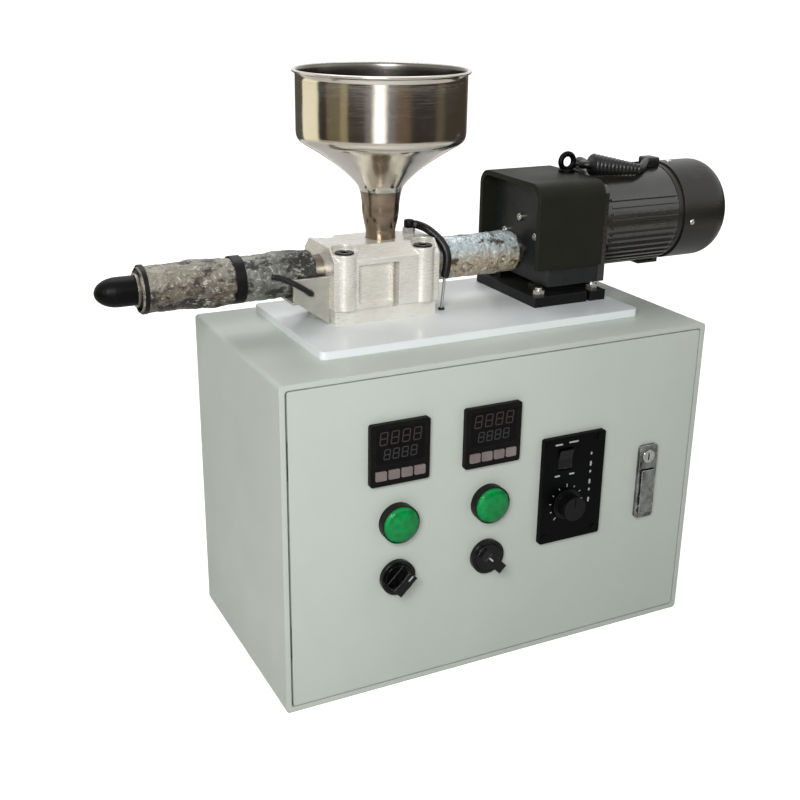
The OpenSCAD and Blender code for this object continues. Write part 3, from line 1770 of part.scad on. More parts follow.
module lock_housing() {
  color("#c9cbcc") {
    difference() {
      union() {
        to_front(lock_x, front_y, lock_z)
          linear_extrude(lock_t)
            rounded_rect(lock_w, lock_h, lock_corner_r);
        to_front(lock_x, front_y + lock_body_d, lock_z)
          linear_extrude(lock_body_d)
            square([lock_w - lock_wall, lock_h - lock_wall], center = true);
      }
      // Pocket that the handle folds into
      box(
        [lock_x - handle_w / 2 - loose_gap, lock_face_y - overrun, handle_low],
        [
          lock_x + handle_w / 2 + loose_gap,
          lock_face_y - handle_proud + handle_t + handle_back,
          handle_low + handle_l
        ]
      );
      to_front(lock_x, front_y + lock_body_d + overrun, cylinder_z)
        cylinder(r = key_cylinder_r + run_gap, h = lock_body_d + lock_t + 2 * overrun);
    }
    translate([lock_x, handle_pin_y, handle_pin_z])
      rotate([0, 90, 0])
        cylinder(r = handle_pin_r, h = lock_w - lock_wall, center = true);
  }
}

module lock_handle() {
  color("#24262a")
    difference() {
      box(
        [lock_x - handle_w / 2, lock_face_y - handle_proud, handle_low + handle_play],
        [
          lock_x + handle_w / 2,
          lock_face_y - handle_proud + handle_t,
          handle_low + handle_l - handle_play
        ]
      );
      translate([lock_x, handle_pin_y, handle_pin_z])
        rotate([0, 90, 0])
          cylinder(r = handle_pin_r + run_gap, h = handle_w + 2 * overrun, center = true);
    }
}

// The cylinder's cam hangs clear of the frame while the door is unlocked
module lock_cylinder() {
  cam_y = frame_y + sheet_t + cam_gap;
  cam_l = cabinet_w / 2 - rim_w - frame_w + cam_reach - lock_x;
  color("#b5b8ba") {
    difference() {
      to_front(lock_x, cam_y, cylinder_z)
        cylinder(r = key_cylinder_r, h = cam_y - lock_face_y + cylinder_proud);
      translate([lock_x, lock_face_y, cylinder_z])
        box(
          [-keyhole_w / 2, -cylinder_proud - overrun, -keyhole_h / 2],
          [keyhole_w / 2, keyhole_d, keyhole_h / 2]
        );
    }
    box(
      [lock_x - cam_w / 2, cam_y, cylinder_z - cam_l],
      [lock_x + cam_w / 2, cam_y + cam_t, cylinder_z]
    );
  }
}

cabinet_body();
mounting_panel();
hinge_pins();
terminal_strip();
solid_state_relays();
cable_gland();
base_plate();
feed_block();
feed_block_screws();
barrel();
barrel_saddle();
nozzle();
heater_bands();
barrel_lagging();
lagging_straps();
bearing_housing();
bearing_lagging();
thrust_bearing();
motor_bracket();
motor_hood();
bracket_bolts();
gearbox_case();
motor_housing();
motor_end_bell();
fan_cover();
motor_stator();
lifting_eye();
motor_lead();
sensor_leads();
door();
door_gasket();
lock_housing();
controller_cases();
controller_windows();
lamp_collars();
lamp_lenses();
selector_bases();
speed_controller();
lock_handle();
lock_cylinder();
selector_knob(left_column_x, left_knob_angle);  // selector_left
selector_knob(right_column_x, right_knob_angle);  // selector_right
speed_knob();
run_switch();
hopper();
motor_rotor();
cooling_fan();
idler_gears();
output_shaft();
shaft_coupling();
screw();
controller_key(left_column_x, 0);  // key_left_1
controller_key(left_column_x, 1);  // key_left_2
controller_key(left_column_x, 2);  // key_left_3
controller_key(left_column_x, 3);  // key_left_4
controller_key(right_column_x, 0);  // key_right_1
controller_key(right_column_x, 1);  // key_right_2
controller_key(right_column_x, 2);  // key_right_3
controller_key(right_column_x, 3);  // key_right_4
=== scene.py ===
from math import cos, pi, radians, sin

import bmesh
import bpy
from mathutils import Matrix, Vector, noise


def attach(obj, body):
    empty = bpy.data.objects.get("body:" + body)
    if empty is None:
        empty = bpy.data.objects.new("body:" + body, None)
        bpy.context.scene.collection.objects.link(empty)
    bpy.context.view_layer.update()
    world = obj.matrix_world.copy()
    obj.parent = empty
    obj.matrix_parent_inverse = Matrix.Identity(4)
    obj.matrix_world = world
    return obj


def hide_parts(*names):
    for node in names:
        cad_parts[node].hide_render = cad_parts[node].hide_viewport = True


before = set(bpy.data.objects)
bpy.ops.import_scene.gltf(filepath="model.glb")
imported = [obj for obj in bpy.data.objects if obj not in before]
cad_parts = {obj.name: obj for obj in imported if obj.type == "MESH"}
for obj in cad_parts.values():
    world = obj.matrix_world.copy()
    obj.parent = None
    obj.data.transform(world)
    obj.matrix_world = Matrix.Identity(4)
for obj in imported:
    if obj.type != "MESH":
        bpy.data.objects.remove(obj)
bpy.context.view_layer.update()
scene = bpy.context.scene
mm = 0.001

print("camera")
cameraSettings = {
    "at": (-0.4201, -0.7486, 0.5048),
    "turn": 26.79,          # degrees round the vertical
    "tilt": 20.61,          # degrees below the horizon
    "roll": 0.81,
    "lens": 52.09,
    "sensor": 36,
    "clip": (0.05, 50),
}


def addCamera(s):
    turn, tilt, roll = radians(s["turn"]), radians(s["tilt"]), radians(s["roll"])
    forward = Vector((sin(turn) * cos(tilt), cos(turn) * cos(tilt), -sin(tilt)))
    level = Vector((cos(turn), -sin(turn), 0))
    upright = level.cross(forward)
    right = level * cos(roll) + upright * sin(roll)
    up = upright * cos(roll) - level * sin(roll)
    data = bpy.data.cameras.new("camera")
    data.lens, data.sensor_width = s["lens"], s["sensor"]
    data.clip_start, data.clip_end = s["clip"]
    camera = bpy.data.objects.new("camera", data)
    camera.matrix_world = Matrix((
        (right.x, up.x, -forward.x, s["at"][0]),
        (right.y, up.y, -forward.y, s["at"][1]),
        (right.z, up.z, -forward.z, s["at"][2]),
        (0, 0, 0, 1),
    ))
    scene.collection.objects.link(camera)
    scene.camera = camera


addCamera(cameraSettings)


# Node trees

def rgb(r, g, b, share=1.0):
    # a colour as a screen shows it, 0 to 255, made linear and dimmed to the given share
    return tuple((c / 255) ** 2.2 * share for c in (r, g, b)) + (1,)


def spaced(values):
    # socket names from argument names
    return {key.replace("_", " "): value for key, value in values.items()}


class Tree:
    # a node tree; each input takes a plain value or another node's output

    def __init__(self, tree):
        self.tree = tree

    def feed(self, node, inputs):
        for key, value in inputs.items():
            if isinstance(value, bpy.types.NodeSocket):
                self.tree.links.new(value, node.inputs[key])
            else:
                node.inputs[key].default_value = value
        return node

    def add(self, kind, inputs=None, **settings):
        node = self.tree.nodes.new("ShaderNode" + kind)
        for key, value in settings.items():
            setattr(node, key, value)
        return self.feed(node, inputs or {})

    def points(self, stretch=(1, 1, 1)):
        # the surface's own place in metres, stretched where a grain runs
        where = self.add("TexCoord").outputs["Object"]
        return self.add("Mapping", {"Vector": where, "Scale": stretch}).outputs["Vector"]

    def noise(self, where, size, detail, roughness=0.5):
        values = {"Vector": where, "Scale": size, "Detail": detail, "Roughness": roughness}
        return self.add("TexNoise", values).outputs["Fac"]

    def math(self, operation, a, b):
        return self.add("Math", {0: a, 1: b}, operation=operation).outputs["Value"]

    def vectorMath(self, operation, a, b):
        return self.add("VectorMath", {0: a, 1: b}, operation=operation).outputs

    def split(self, vector):
        return self.add("SeparateXYZ", {"Vector": vector}).outputs

    def ramp(self, source, low, high, fromMin=0.3, fromMax=0.7, **settings):
        values = {"Value": source, "From Min": fromMin, "From Max": fromMax,
                  "To Min": low, "To Max": high}
        return self.add("MapRange", values, **settings).outputs["Result"]

    def mixColours(self, factor, a, b):
        return self.add("Mix", {0: factor, 6: a, 7: b}, data_type="RGBA").outputs[2]

    def mixValues(self, factor, a, b):
        return self.add("Mix", {0: factor, 2: a, 3: b}).outputs[0]

    def bump(self, height, distance, strength=1.0, normal=None):
        values = {"Height": height, "Distance": distance, "Strength": strength}
        if normal is not None:
            values["Normal"] = normal
        return self.add("Bump", values).outputs["Normal"]


class Effect(Tree):
    # a node group that materials share

    def __init__(self, name, inputs, outputs):
        super().__init__(bpy.data.node_groups.new(name, "ShaderNodeTree"))
        make = self.tree.interface.new_socket
        for label, kind, value in inputs:
            socket = make(name=label, in_out="INPUT", socket_type="NodeSocket" + kind)
            socket.default_value = value
        for label, kind in outputs:
            make(name=label, in_out="OUTPUT", socket_type="NodeSocket" + kind)
        self.given = self.tree.nodes.new("NodeGroupInput").outputs

    def close(self, results):
        self.feed(self.tree.nodes.new("NodeGroupOutput"), results)
        return self.tree


print("shared effects")


def makeMottle():
    # two tones that drift over the surface
    t = Effect("softMottle",
               [("Tone A", "Color", rgb(200, 200, 200)), ("Tone B", "Color", rgb(160, 160, 160)),
                ("Size", "Float", 12.0), ("Share B", "Float", 0.5), ("Softness", "Float", 0.25)],
               [("Color", "Color"), ("Mask", "Float")])
    cloud = t.noise(t.points(), t.given["Size"], 6.0, 0.6)
    edge = t.math("SUBTRACT", 1.0, t.given["Share B"])
    low, high = (t.math(way, edge, t.given["Softness"]) for way in ("SUBTRACT", "ADD"))
    share = t.ramp(cloud, 0.0, 1.0, low, high, interpolation_type="SMOOTHSTEP")
    colour = t.mixColours(share, t.given["Tone A"], t.given["Tone B"])
    return t.close({"Color": colour, "Mask": share})


def makeEdges():
    # softly rounded edges, and a mask of where they are; the mask carries the edge tone, which is
    # wear and a painted highlight along the edges
    t = Effect("roundEdges", [("Radius", "Float", 0.0006), ("Wear", "Float", 0.5)],
               [("Normal", "Vector"), ("Mask", "Float")])
    rounded = t.add("Bevel", {"Radius": t.given["Radius"]}, samples=4).outputs["Normal"]
    flat = t.add("NewGeometry").outputs["Normal"]
    # 1 where the rounding has turned the normal well away
    turned = t.ramp(t.vectorMath("DOT_PRODUCT", rounded, flat)["Value"], 0.0, 1.0,
                    fromMin=0.995, fromMax=0.86)
    chips = t.ramp(t.noise(t.points(), 140.0, 5.0, 0.7), 0.0, 1.0, 0.42, 0.62)
    mask = t.math("MULTIPLY", t.math("MULTIPLY", turned, chips), t.given["Wear"])
    return t.close({"Normal": rounded, "Mask": mask})


def makeGrain():
    # fine lines of a ground or brushed metal; the stretch runs along the lines
    t = Effect("brushedGrain", [("Stretch", "Vector", (1, 1, 1)), ("Lines", "Float", 60.0)],
               [("Value", "Float"), ("Height", "Float")])
    where = t.add("TexCoord").outputs["Object"]
    along = t.vectorMath("MULTIPLY", where, t.given["Stretch"])["Vector"]
    fine = t.noise(along, t.given["Lines"], 8.0, 0.75)
    broad = t.noise(where, 9.0, 3.0)
    mean = t.math("MULTIPLY", t.math("ADD", fine, broad), 0.5)
    return t.close({"Value": mean, "Height": fine})


def makePeel():
    # the fine orange peel of a sprayed coat and the long waves under it
    t = Effect("paintPeel", [("Peel Size", "Float", 420.0), ("Wave Size", "Float", 14.0),
                             ("Wave Share", "Float", 0.5)],
               [("Height", "Float"), ("Value", "Float")])
    where = t.points()
    peel = t.noise(where, t.given["Peel Size"], 2.0, 0.4)
    wave = t.noise(where, t.given["Wave Size"], 1.0, 0.3)
    return t.close({"Height": t.mixValues(t.given["Wave Share"], peel, wave), "Value": wave})


def makeDust():
    # dust that settles where a surface looks up
    t = Effect("settledDust", [("Amount", "Float", 0.3), ("Size", "Float", 40.0)],
               [("Mask", "Float")])
    upward = t.ramp(t.split(t.add("NewGeometry").outputs["Normal"])["Z"], 0.0, 1.0, 0.3, 1.0)
    patch = t.ramp(t.noise(t.points(), t.given["Size"], 8.0, 0.7), 0.0, 1.0, 0.35, 0.7)
    mask = t.math("MULTIPLY", t.math("MULTIPLY", upward, patch), t.given["Amount"])
    return t.close({"Mask": mask})


softMottle = makeMottle()
roundEdges = makeEdges()
brushedGrain = makeGrain()
paintPeel = makePeel()
settledDust = makeDust()


class Finish(Tree):
    # one material: its tree, its shader and what feeds it

    def __init__(self, name, specular=0.5, **shader):
        self.material = bpy.data.materials.new(name)
        self.material.use_nodes = True
        super().__init__(self.material.node_tree)
        values = {"Specular IOR Level": specular, **spaced(shader)}
        self.shader = self.feed(self.tree.nodes["Principled BSDF"], values)

    def group(self, group, **values):
        return self.add("Group", spaced(values), node_tree=group).outputs

    def tone(self, tones, size, softness=0.25, share=0.5, dim=1.0):
        # dim: what is left of the second tone
        return self.group(softMottle, Tone_A=rgb(*tones[0]), Tone_B=rgb(*tones[1], dim), Size=size,
                          Softness=softness, Share_B=share)["Color"]

    def over(self, mask, colour, tone):
        return self.mixColours(mask, colour, rgb(*tone))

    def peel(self, fine, long, share):
        return self.group(paintPeel, Peel_Size=fine, Wave_Size=long, Wave_Share=share)

    def close(self, **inputs):
        self.feed(self.shader, spaced(inputs))
        return self.material


dustTone = (196, 192, 182)


def paintedSteel(name, tones, worn, rough, drift, peel, depth, edge, wear, dust, **shader):
    # sprayed or powder-coated sheet: drifting tone, peel, dust on top, thin wear and a painted
    # highlight at the edges
    f = Finish(name, **shader)
    edges = f.group(roundEdges, Radius=edge, Wear=wear)
    skin = f.peel(*peel)
    fallen = f.group(settledDust, Amount=dust, Size=30.0)["Mask"]
    # the edge tone: wear and a painted highlight along the edges
    rubbedAndGlint = f.over(edges["Mask"], f.tone(tones, drift, softness=0.3), worn)
    return f.close(Base_Color=f.over(fallen, rubbedAndGlint, dustTone),
                   Roughness=f.ramp(skin["Value"], *rough),
                   Normal=f.bump(skin["Height"], depth, normal=edges["Normal"]))


def machinedMetal(name, tones, worn, rough, stretch, lines, depth, edge, metallic=1.0, **shader):
    # turned, ground or drawn metal: brushed lines, mottled tone, bright edges that are rubbed and
    # also a painted highlight
    f = Finish(name, Metallic=metallic, **shader)
    grain = f.group(brushedGrain, Stretch=stretch, Lines=lines)
    edges = f.group(roundEdges, Radius=edge, Wear=1.0)
    tone = f.tone(tones, size=38.0, softness=0.3)
    # the edge tone: wear and a painted highlight along the edges
    return f.close(Base_Color=f.over(edges["Mask"], tone, worn),
                   Roughness=f.ramp(grain["Value"], *rough),
                   Normal=f.bump(grain["Height"], depth, normal=edges["Normal"]))


def mouldedPlastic(name, tones, worn, rough, grain, depth, edge, **shader):
    # moulded plastic or rubber: a fine spark texture and a lighter edge, partly wear, partly a
    # painted sheen
    f = Finish(name, **shader)
    skin = f.peel(grain, long=30.0, share=0.15)
    edges = f.group(roundEdges, Radius=edge, Wear=0.7)
    tone = f.tone(tones, size=60.0, softness=0.35)
    # the edge tone: wear and a painted highlight along the edges
    return f.close(Base_Color=f.over(edges["Mask"], tone, worn),
                   Roughness=f.ramp(skin["Height"], *rough),
                   Normal=f.bump(skin["Height"], depth, normal=edges["Normal"]))


def makeStainless(name, tones, rough, waves):
    # spun and polished sheet: fine rings from the lathe, long soft waves, a faint warm tint
    f = Finish(name, Metallic=1.0, Anisotropic=0.35)
    grain = f.group(brushedGrain, Stretch=(0.6, 0.6, 160.0), Lines=18.0)
    wavy = f.bump(f.peel(fine=60.0, long=22.0, share=0.75)["Height"], waves)
    return f.close(Base_Color=f.tone(tones, size=16.0, softness=0.35),
                   Roughness=f.ramp(grain["Value"], *rough),
                   Normal=f.bump(grain["Height"], 0.00003, normal=wavy))


def makeChrome(name, tones, waveSize, waves, worn=(250, 250, 248)):
    # plated die casting: a mirror that is never quite flat; its light and dark patches of tone are
    # a painted reflection, its bright edges a painted glint
    f = Finish(name, Metallic=1.0)
    skin = f.peel(fine=420.0, long=waveSize, share=0.85)
    edges = f.group(roundEdges, Radius=0.0009, Wear=0.8)
    return f.close(Base_Color=f.over(edges["Mask"], f.tone(tones, size=90.0), worn),
                   Roughness=f.ramp(skin["Value"], 0.05, 0.16),
                   Normal=f.bump(skin["Height"], waves, normal=edges["Normal"]))


foilMasks = {
    # sizes against the blotches and folds, heights in metres, each mask's width and strength
    "stainSize": 1.9, "wrinkleSize": 3.4, "underside": (0.278, 0.300), "lowBand": 0.012,
    "burnBand": 0.10, "burn": 0.92, "creaseShadeBand": 0.07, "crease": 0.9, "crestBand": (0.55, 0.68),
    "crest": 0.9, "softness": 0.22, "burntMetal": 0.1, "wrinkleDepth": 0.35,
}


def makeFoil(name, s, m):
    # crumpled foil over glass cloth: bright foil, burnt stains, fine white crests that are a
    # painted highlight, near-black folds that are painted shade
    f = Finish(name)
    long = f.points(s["stretch"])
    stains = f.noise(long, s["blotch"] * m["stainSize"], 8.0, 0.7)
    folds = f.noise(long, s["foldSize"], 6.0, 0.62)
    wrinkle = f.noise(long, s["foldSize"] * m["wrinkleSize"], 5.0, 0.66)
    # darker and more blotched towards the underside and towards the given end
    at = f.split(f.points())
    under = f.ramp(at["Z"], s["under"], 0.0, *m["underside"])
    hot = f.ramp(at["X"], 0.0, s["hot"], *s["hotEnd"])
    level = f.math("ADD", stains, f.math("ADD", under, hot))
    # below its top height the colour goes toward the stain tone: darker towards the bottom
    low = f.ramp(at["Z"], s["lowShare"], 0.0, s["lowTop"] - m["lowBand"], s["lowTop"])
    burnt = f.ramp(level, 0.0, m["burn"], s["burnFrom"], s["burnFrom"] + m["burnBand"])
    # the folds take the darkest tone: painted shade in the creases
    crease = f.ramp(folds, m["crease"], 0.0, s["creaseFrom"], s["creaseFrom"] + m["creaseShadeBand"])
    # the crests take a near-white tone: a painted highlight
    crest = f.ramp(wrinkle, 0.0, m["crest"], *m["crestBand"])
    colour = f.tone((s["bright"], s["stain"]), s["blotch"], m["softness"], s["stained"])
    for mask, tone in ((low, "stain"), (burnt, "dark"), (crest, "ridge"), (crease, "dark")):
        colour = f.over(mask, colour, s[tone])
    broad = f.bump(folds, s["foldDepth"], 0.8)
    return f.close(Base_Color=colour, Metallic=f.ramp(burnt, s["metal"], m["burntMetal"], 0.0, 1.0),
                   Roughness=f.ramp(wrinkle, *s["rough"]),
                   Normal=f.bump(wrinkle, s["foldDepth"] * m["wrinkleDepth"], normal=broad))


def makeLens(name, tones, rimShade, paintedGlow):
    # pilot lens: moulded prisms under a clear skin, a painted shade that darkens it towards its rim
    # where the view grazes it, and a faint painted glow
    f = Finish(name, Roughness=0.16, IOR=1.49, specular=0.25,
               Emission_Color=rgb(*paintedGlow), Emission_Strength=0.05)
    prisms = f.add("TexVoronoi", {"Vector": f.points(), "Scale": 520.0}).outputs["Distance"]
    # darker where the surface is seen at a grazing angle: painted shade at the rim
    rimShadeMask = f.add("LayerWeight", {"Blend": 0.5}).outputs["Facing"]
    return f.close(Base_Color=f.over(rimShadeMask, f.tone(tones, size=140.0), rimShade),
                   Normal=f.bump(prisms, 0.0003, 0.5))


def makeWindow(name, tones):
    # smoked display window over a dark mask
    f = Finish(name, IOR=1.49, specular=0.1)
    smear = f.peel(fine=120.0, long=16.0, share=0.6)
    return f.close(Base_Color=f.tone(tones, size=30.0, softness=0.3),
                   Roughness=f.ramp(smear["Value"], 0.10, 0.22),
                   Normal=f.bump(smear["Height"], 0.00008))


def makeSegments(name, colour):
    # an unlit display segment, a shade lighter than its window
    f = Finish(name, Roughness=0.5)
    return f.close(Base_Color=f.tone((colour, colour), size=260.0, dim=0.7))


print("materials")
paints = {
    # drift: how close the clouds of tone lie; peel: fine grain, long waves and the waves' share;
    # the edge tone is wear and a painted highlight
    "cabinetPaint": dict(tones=((195, 202, 192), (184, 192, 184)), worn=(214, 218, 209),
        rough=(0.36, 0.48), drift=5.0, peel=(700.0, 24.0, 0.3), depth=0.00012, edge=0.0012,
        wear=0.35, dust=0.12, Coat_Weight=0.10, Coat_Roughness=0.3),
    "platePaint": dict(tones=((241, 245, 246), (226, 232, 233)), worn=(247, 249, 248),
        rough=(0.28, 0.42), drift=7.0, peel=(200.0, 13.0, 0.9), depth=0.0008, edge=0.0012,
        wear=0.6, dust=0.03, Coat_Weight=0.15, Coat_Roughness=0.12),
    "hoodPaint": dict(tones=((38, 39, 31), (31, 32, 26)), worn=(70, 68, 60), rough=(0.50, 0.62),
        drift=16.0, peel=(520.0, 30.0, 0.2), depth=0.00018, edge=0.0014, wear=0.35, dust=0.01,
        specular=0.14),
    "motorPaint": dict(tones=((33, 32, 27), (25, 24, 20)), worn=(72, 70, 64), rough=(0.22, 0.34),
        drift=20.0, peel=(480.0, 26.0, 0.3), depth=0.0002, edge=0.0008, wear=0.2, dust=0.04,
        specular=1.0),
    "coverPaint": dict(tones=((36, 35, 30), (26, 25, 23)), worn=(80, 79, 74), rough=(0.34, 0.46),
        drift=14.0, peel=(420.0, 22.0, 0.3), depth=0.0002, edge=0.0012, wear=0.4, dust=0.05,
        specular=0.4),
    "bracketPaint": dict(tones=((13, 13, 15), (8, 8, 10)), worn=(60, 60, 62), rough=(0.42, 0.56),
        drift=18.0, peel=(380.0, 30.0, 0.2), depth=0.0002, edge=0.0010, wear=0.7, dust=0.03,
        specular=0.25),
    "gearheadPaint": dict(tones=((46, 48, 48), (28, 29, 30)), worn=(110, 110, 108),
        rough=(0.38, 0.52), drift=26.0, peel=(330.0, 40.0, 0.3), depth=0.0003, edge=0.0010,
        wear=0.7, dust=0.04, specular=0.3),
}
metals = {
    # the edge tone of each: wear and a painted highlight along the edges
    "zincSteel": dict(tones=((200, 201, 198), (158, 160, 158)), worn=(235, 235, 232),
        rough=(0.22, 0.42), stretch=(1, 1, 9), lines=40.0, depth=0.00008, edge=0.0004),
    "blockSteel": dict(tones=((242, 240, 232), (218, 214, 203)), worn=(253, 252, 249),
        rough=(0.20, 0.38), stretch=(4, 4, 90), lines=22.0, depth=0.00010, edge=0.0013,
        metallic=0.42),
    "saddleSteel": dict(tones=((186, 184, 175), (150, 147, 138)), worn=(244, 243, 238),
        rough=(0.28, 0.48), stretch=(60, 4, 4), lines=24.0, depth=0.00010, edge=0.0012,
        metallic=0.35),
    "barrelSteel": dict(tones=((150, 144, 134), (104, 96, 86)), worn=(210, 206, 198),
        rough=(0.26, 0.45), stretch=(70, 3, 3), lines=24.0, depth=0.00008, edge=0.0006),
    "blackSteel": dict(tones=((13, 14, 13), (8, 8, 9)), worn=(60, 58, 55), rough=(0.34, 0.48),
        stretch=(60, 3, 3), lines=26.0, depth=0.00006, edge=0.0007, metallic=0.0, specular=0.1),
    "screwBlack": dict(tones=((14, 14, 14), (8, 8, 9)), worn=(58, 57, 55), rough=(0.36, 0.50),
        stretch=(2, 2, 2), lines=60.0, depth=0.00006, edge=0.0005, metallic=0.0, specular=0.25),
    "gearSteel": dict(tones=((176, 174, 168), (140, 138, 132)), worn=(226, 224, 220),
        rough=(0.20, 0.34), stretch=(50, 2, 2), lines=30.0, depth=0.00005, edge=0.0003),
    "castAluminium": dict(tones=((186, 186, 182), (160, 160, 156)), worn=(220, 220, 216),
        rough=(0.36, 0.52), stretch=(1, 1, 1), lines=180.0, depth=0.00016, edge=0.0006),
    "heaterSheet": dict(tones=((178, 170, 152), (128, 112, 90)), worn=(222, 216, 204),
        rough=(0.24, 0.40), stretch=(40, 3, 3), lines=30.0, depth=0.00006, edge=0.0003),
    "copperWinding": dict(tones=((178, 96, 48), (140, 68, 34)), worn=(214, 138, 84),
        rough=(0.24, 0.40), stretch=(3, 90, 90), lines=24.0, depth=0.00020, edge=0.0003,
        Coat_Weight=0.4),
    "nutZinc": dict(tones=((214, 212, 206), (170, 168, 160)), worn=(245, 244, 240),
        rough=(0.16, 0.30), stretch=(1, 1, 12), lines=60.0, depth=0.00006, edge=0.0005),
}
plastics = {
    # the edge tone of each: wear and a painted highlight along the edges
    "rubberBlack": dict(tones=((15, 15, 15), (9, 9, 9)), worn=(44, 44, 43), rough=(0.30, 0.46),
        grain=700.0, depth=0.0002, edge=0.0005, specular=0.4),
    "nylonBlack": dict(tones=((15, 15, 15), (9, 9, 10)), worn=(50, 50, 50), rough=(0.36, 0.52),
        grain=520.0, depth=0.00016, edge=0.0005, specular=0.2),
    "glossBlack": dict(tones=((9, 9, 10), (5, 5, 6)), worn=(36, 36, 38), rough=(0.05, 0.12),
        grain=300.0, depth=0.00006, edge=0.0012, specular=0.24),
    "caseBlack": dict(tones=((24, 22, 22), (15, 14, 14)), worn=(58, 56, 56), rough=(0.38, 0.52),
        grain=640.0, depth=0.00014, edge=0.0006, specular=0.1),
    "speedBlack": dict(tones=((14, 15, 16), (9, 10, 10)), worn=(46, 46, 46), rough=(0.34, 0.48),
        grain=500.0, depth=0.00010, edge=0.0006, specular=0.06),
    "ivoryPlastic": dict(tones=((226, 220, 200), (206, 198, 176)), worn=(238, 234, 220),
        rough=(0.34, 0.48), grain=480.0, depth=0.00012, edge=0.0006),
    "keyGrey": dict(tones=((134, 124, 122), (104, 95, 93)), worn=(164, 158, 156),
        rough=(0.42, 0.56), grain=520.0, depth=0.00012, edge=0.0005, specular=0.3),
    "markWhite": dict(tones=((190, 192, 194), (150, 152, 154)), worn=(216, 216, 216),
        rough=(0.40, 0.55), grain=900.0, depth=0.00005, edge=0.0001),
    # pale, near the cabinet's own tone, so that the door gap looks less dark: painted light in the
    # gap
    "gasketFoam": dict(tones=((176, 182, 173), (154, 160, 151)), worn=(184, 188, 180),
        rough=(0.75, 0.90), grain=900.0, depth=0.0006, edge=0.0006),
}
steels = {
    # the bowl; its inside, rougher where the pellets slide and much darker in tone; and the heat
    # tint below the weld
    "spunStainless": dict(tones=((216, 211, 202), (198, 191, 180)), rough=(0.07, 0.18),
        waves=0.0005),
    "scuffedStainless": dict(tones=((120, 117, 112), (98, 95, 90)), rough=(0.14, 0.30),
        waves=0.0008),
    "tintedStainless": dict(tones=((146, 130, 116), (112, 98, 84)), rough=(0.12, 0.26),
        waves=0.0003),
}
chromes = {
    # light and dark tones in patches: painted reflection on the chrome
    "lockChrome": dict(tones=((150, 152, 149), (62, 63, 61)), waveSize=70.0, waves=0.0016),
    "lockPlate": dict(tones=((150, 152, 150), (58, 60, 58)), waveSize=90.0, waves=0.0016),
    "lockSilver": dict(tones=((206, 208, 205), (140, 142, 139)), waveSize=90.0, waves=0.0010),
}
foils = {
    # the darkest tone serves the burnt blotches and the painted shade in the folds; the near-white
    # tone is the painted highlight on the crests
    "frontFoil": dict(bright=(140, 136, 124), stain=(88, 79, 66), dark=(28, 23, 18),
        ridge=(190, 187, 177), blotch=60.0, stained=0.45, stretch=(0.6, 1, 1), foldSize=110.0,
        foldDepth=0.0007, creaseFrom=0.38, under=0.13, lowShare=0.65, lowTop=0.300,
        hotEnd=(-0.240, -0.160), hot=0.0, burnFrom=0.55, metal=0.15, rough=(0.32, 0.55)),
    "rearFoil": dict(bright=(138, 138, 131), stain=(86, 86, 80), dark=(28, 28, 26),
        ridge=(188, 188, 182), blotch=60.0, stained=0.5, stretch=(0.6, 1, 1), foldSize=110.0,
        foldDepth=0.0007, creaseFrom=0.38, under=0.04, lowShare=0.2, lowTop=0.296,
        hotEnd=(-0.138, -0.114), hot=0.26, burnFrom=0.57, metal=0.15, rough=(0.32, 0.52)),
    "sleeveFoil": dict(bright=(184, 196, 200), stain=(170, 150, 114), dark=(60, 46, 31),
        ridge=(232, 237, 237), blotch=90.0, stained=0.25, stretch=(0.8, 1, 1), foldSize=100.0,
        foldDepth=0.0006, creaseFrom=0.37, under=0.09, lowShare=0.8, lowTop=0.302,
        hotEnd=(-0.010, 0.070), hot=0.0, burnFrom=0.60, metal=0.2, rough=(0.20, 0.40)),
}
looks = {
    # a painted glow and a painted darker rim on the lens
    "lensGreen": makeLens("lensGreen", ((0, 156, 78), (0, 112, 54)), (0, 72, 40), (0, 140, 74)),
    "displayWindow": makeWindow("displayWindow", ((18, 14, 15), (10, 8, 9))),
    "segmentUpper": makeSegments("segmentUpper", (46, 34, 33)),
    "segmentLower": makeSegments("segmentLower", (36, 38, 37)),
}
for makeLook, sorts in ((paintedSteel, paints), (machinedMetal, metals), (mouldedPlastic, plastics),
                        (makeStainless, steels), (makeChrome, chromes)):
    for lookName, values in sorts.items():
        looks[lookName] = makeLook(lookName, **values)
for lookName, values in foils.items():
    looks[lookName] = makeFoil(lookName, values, foilMasks)

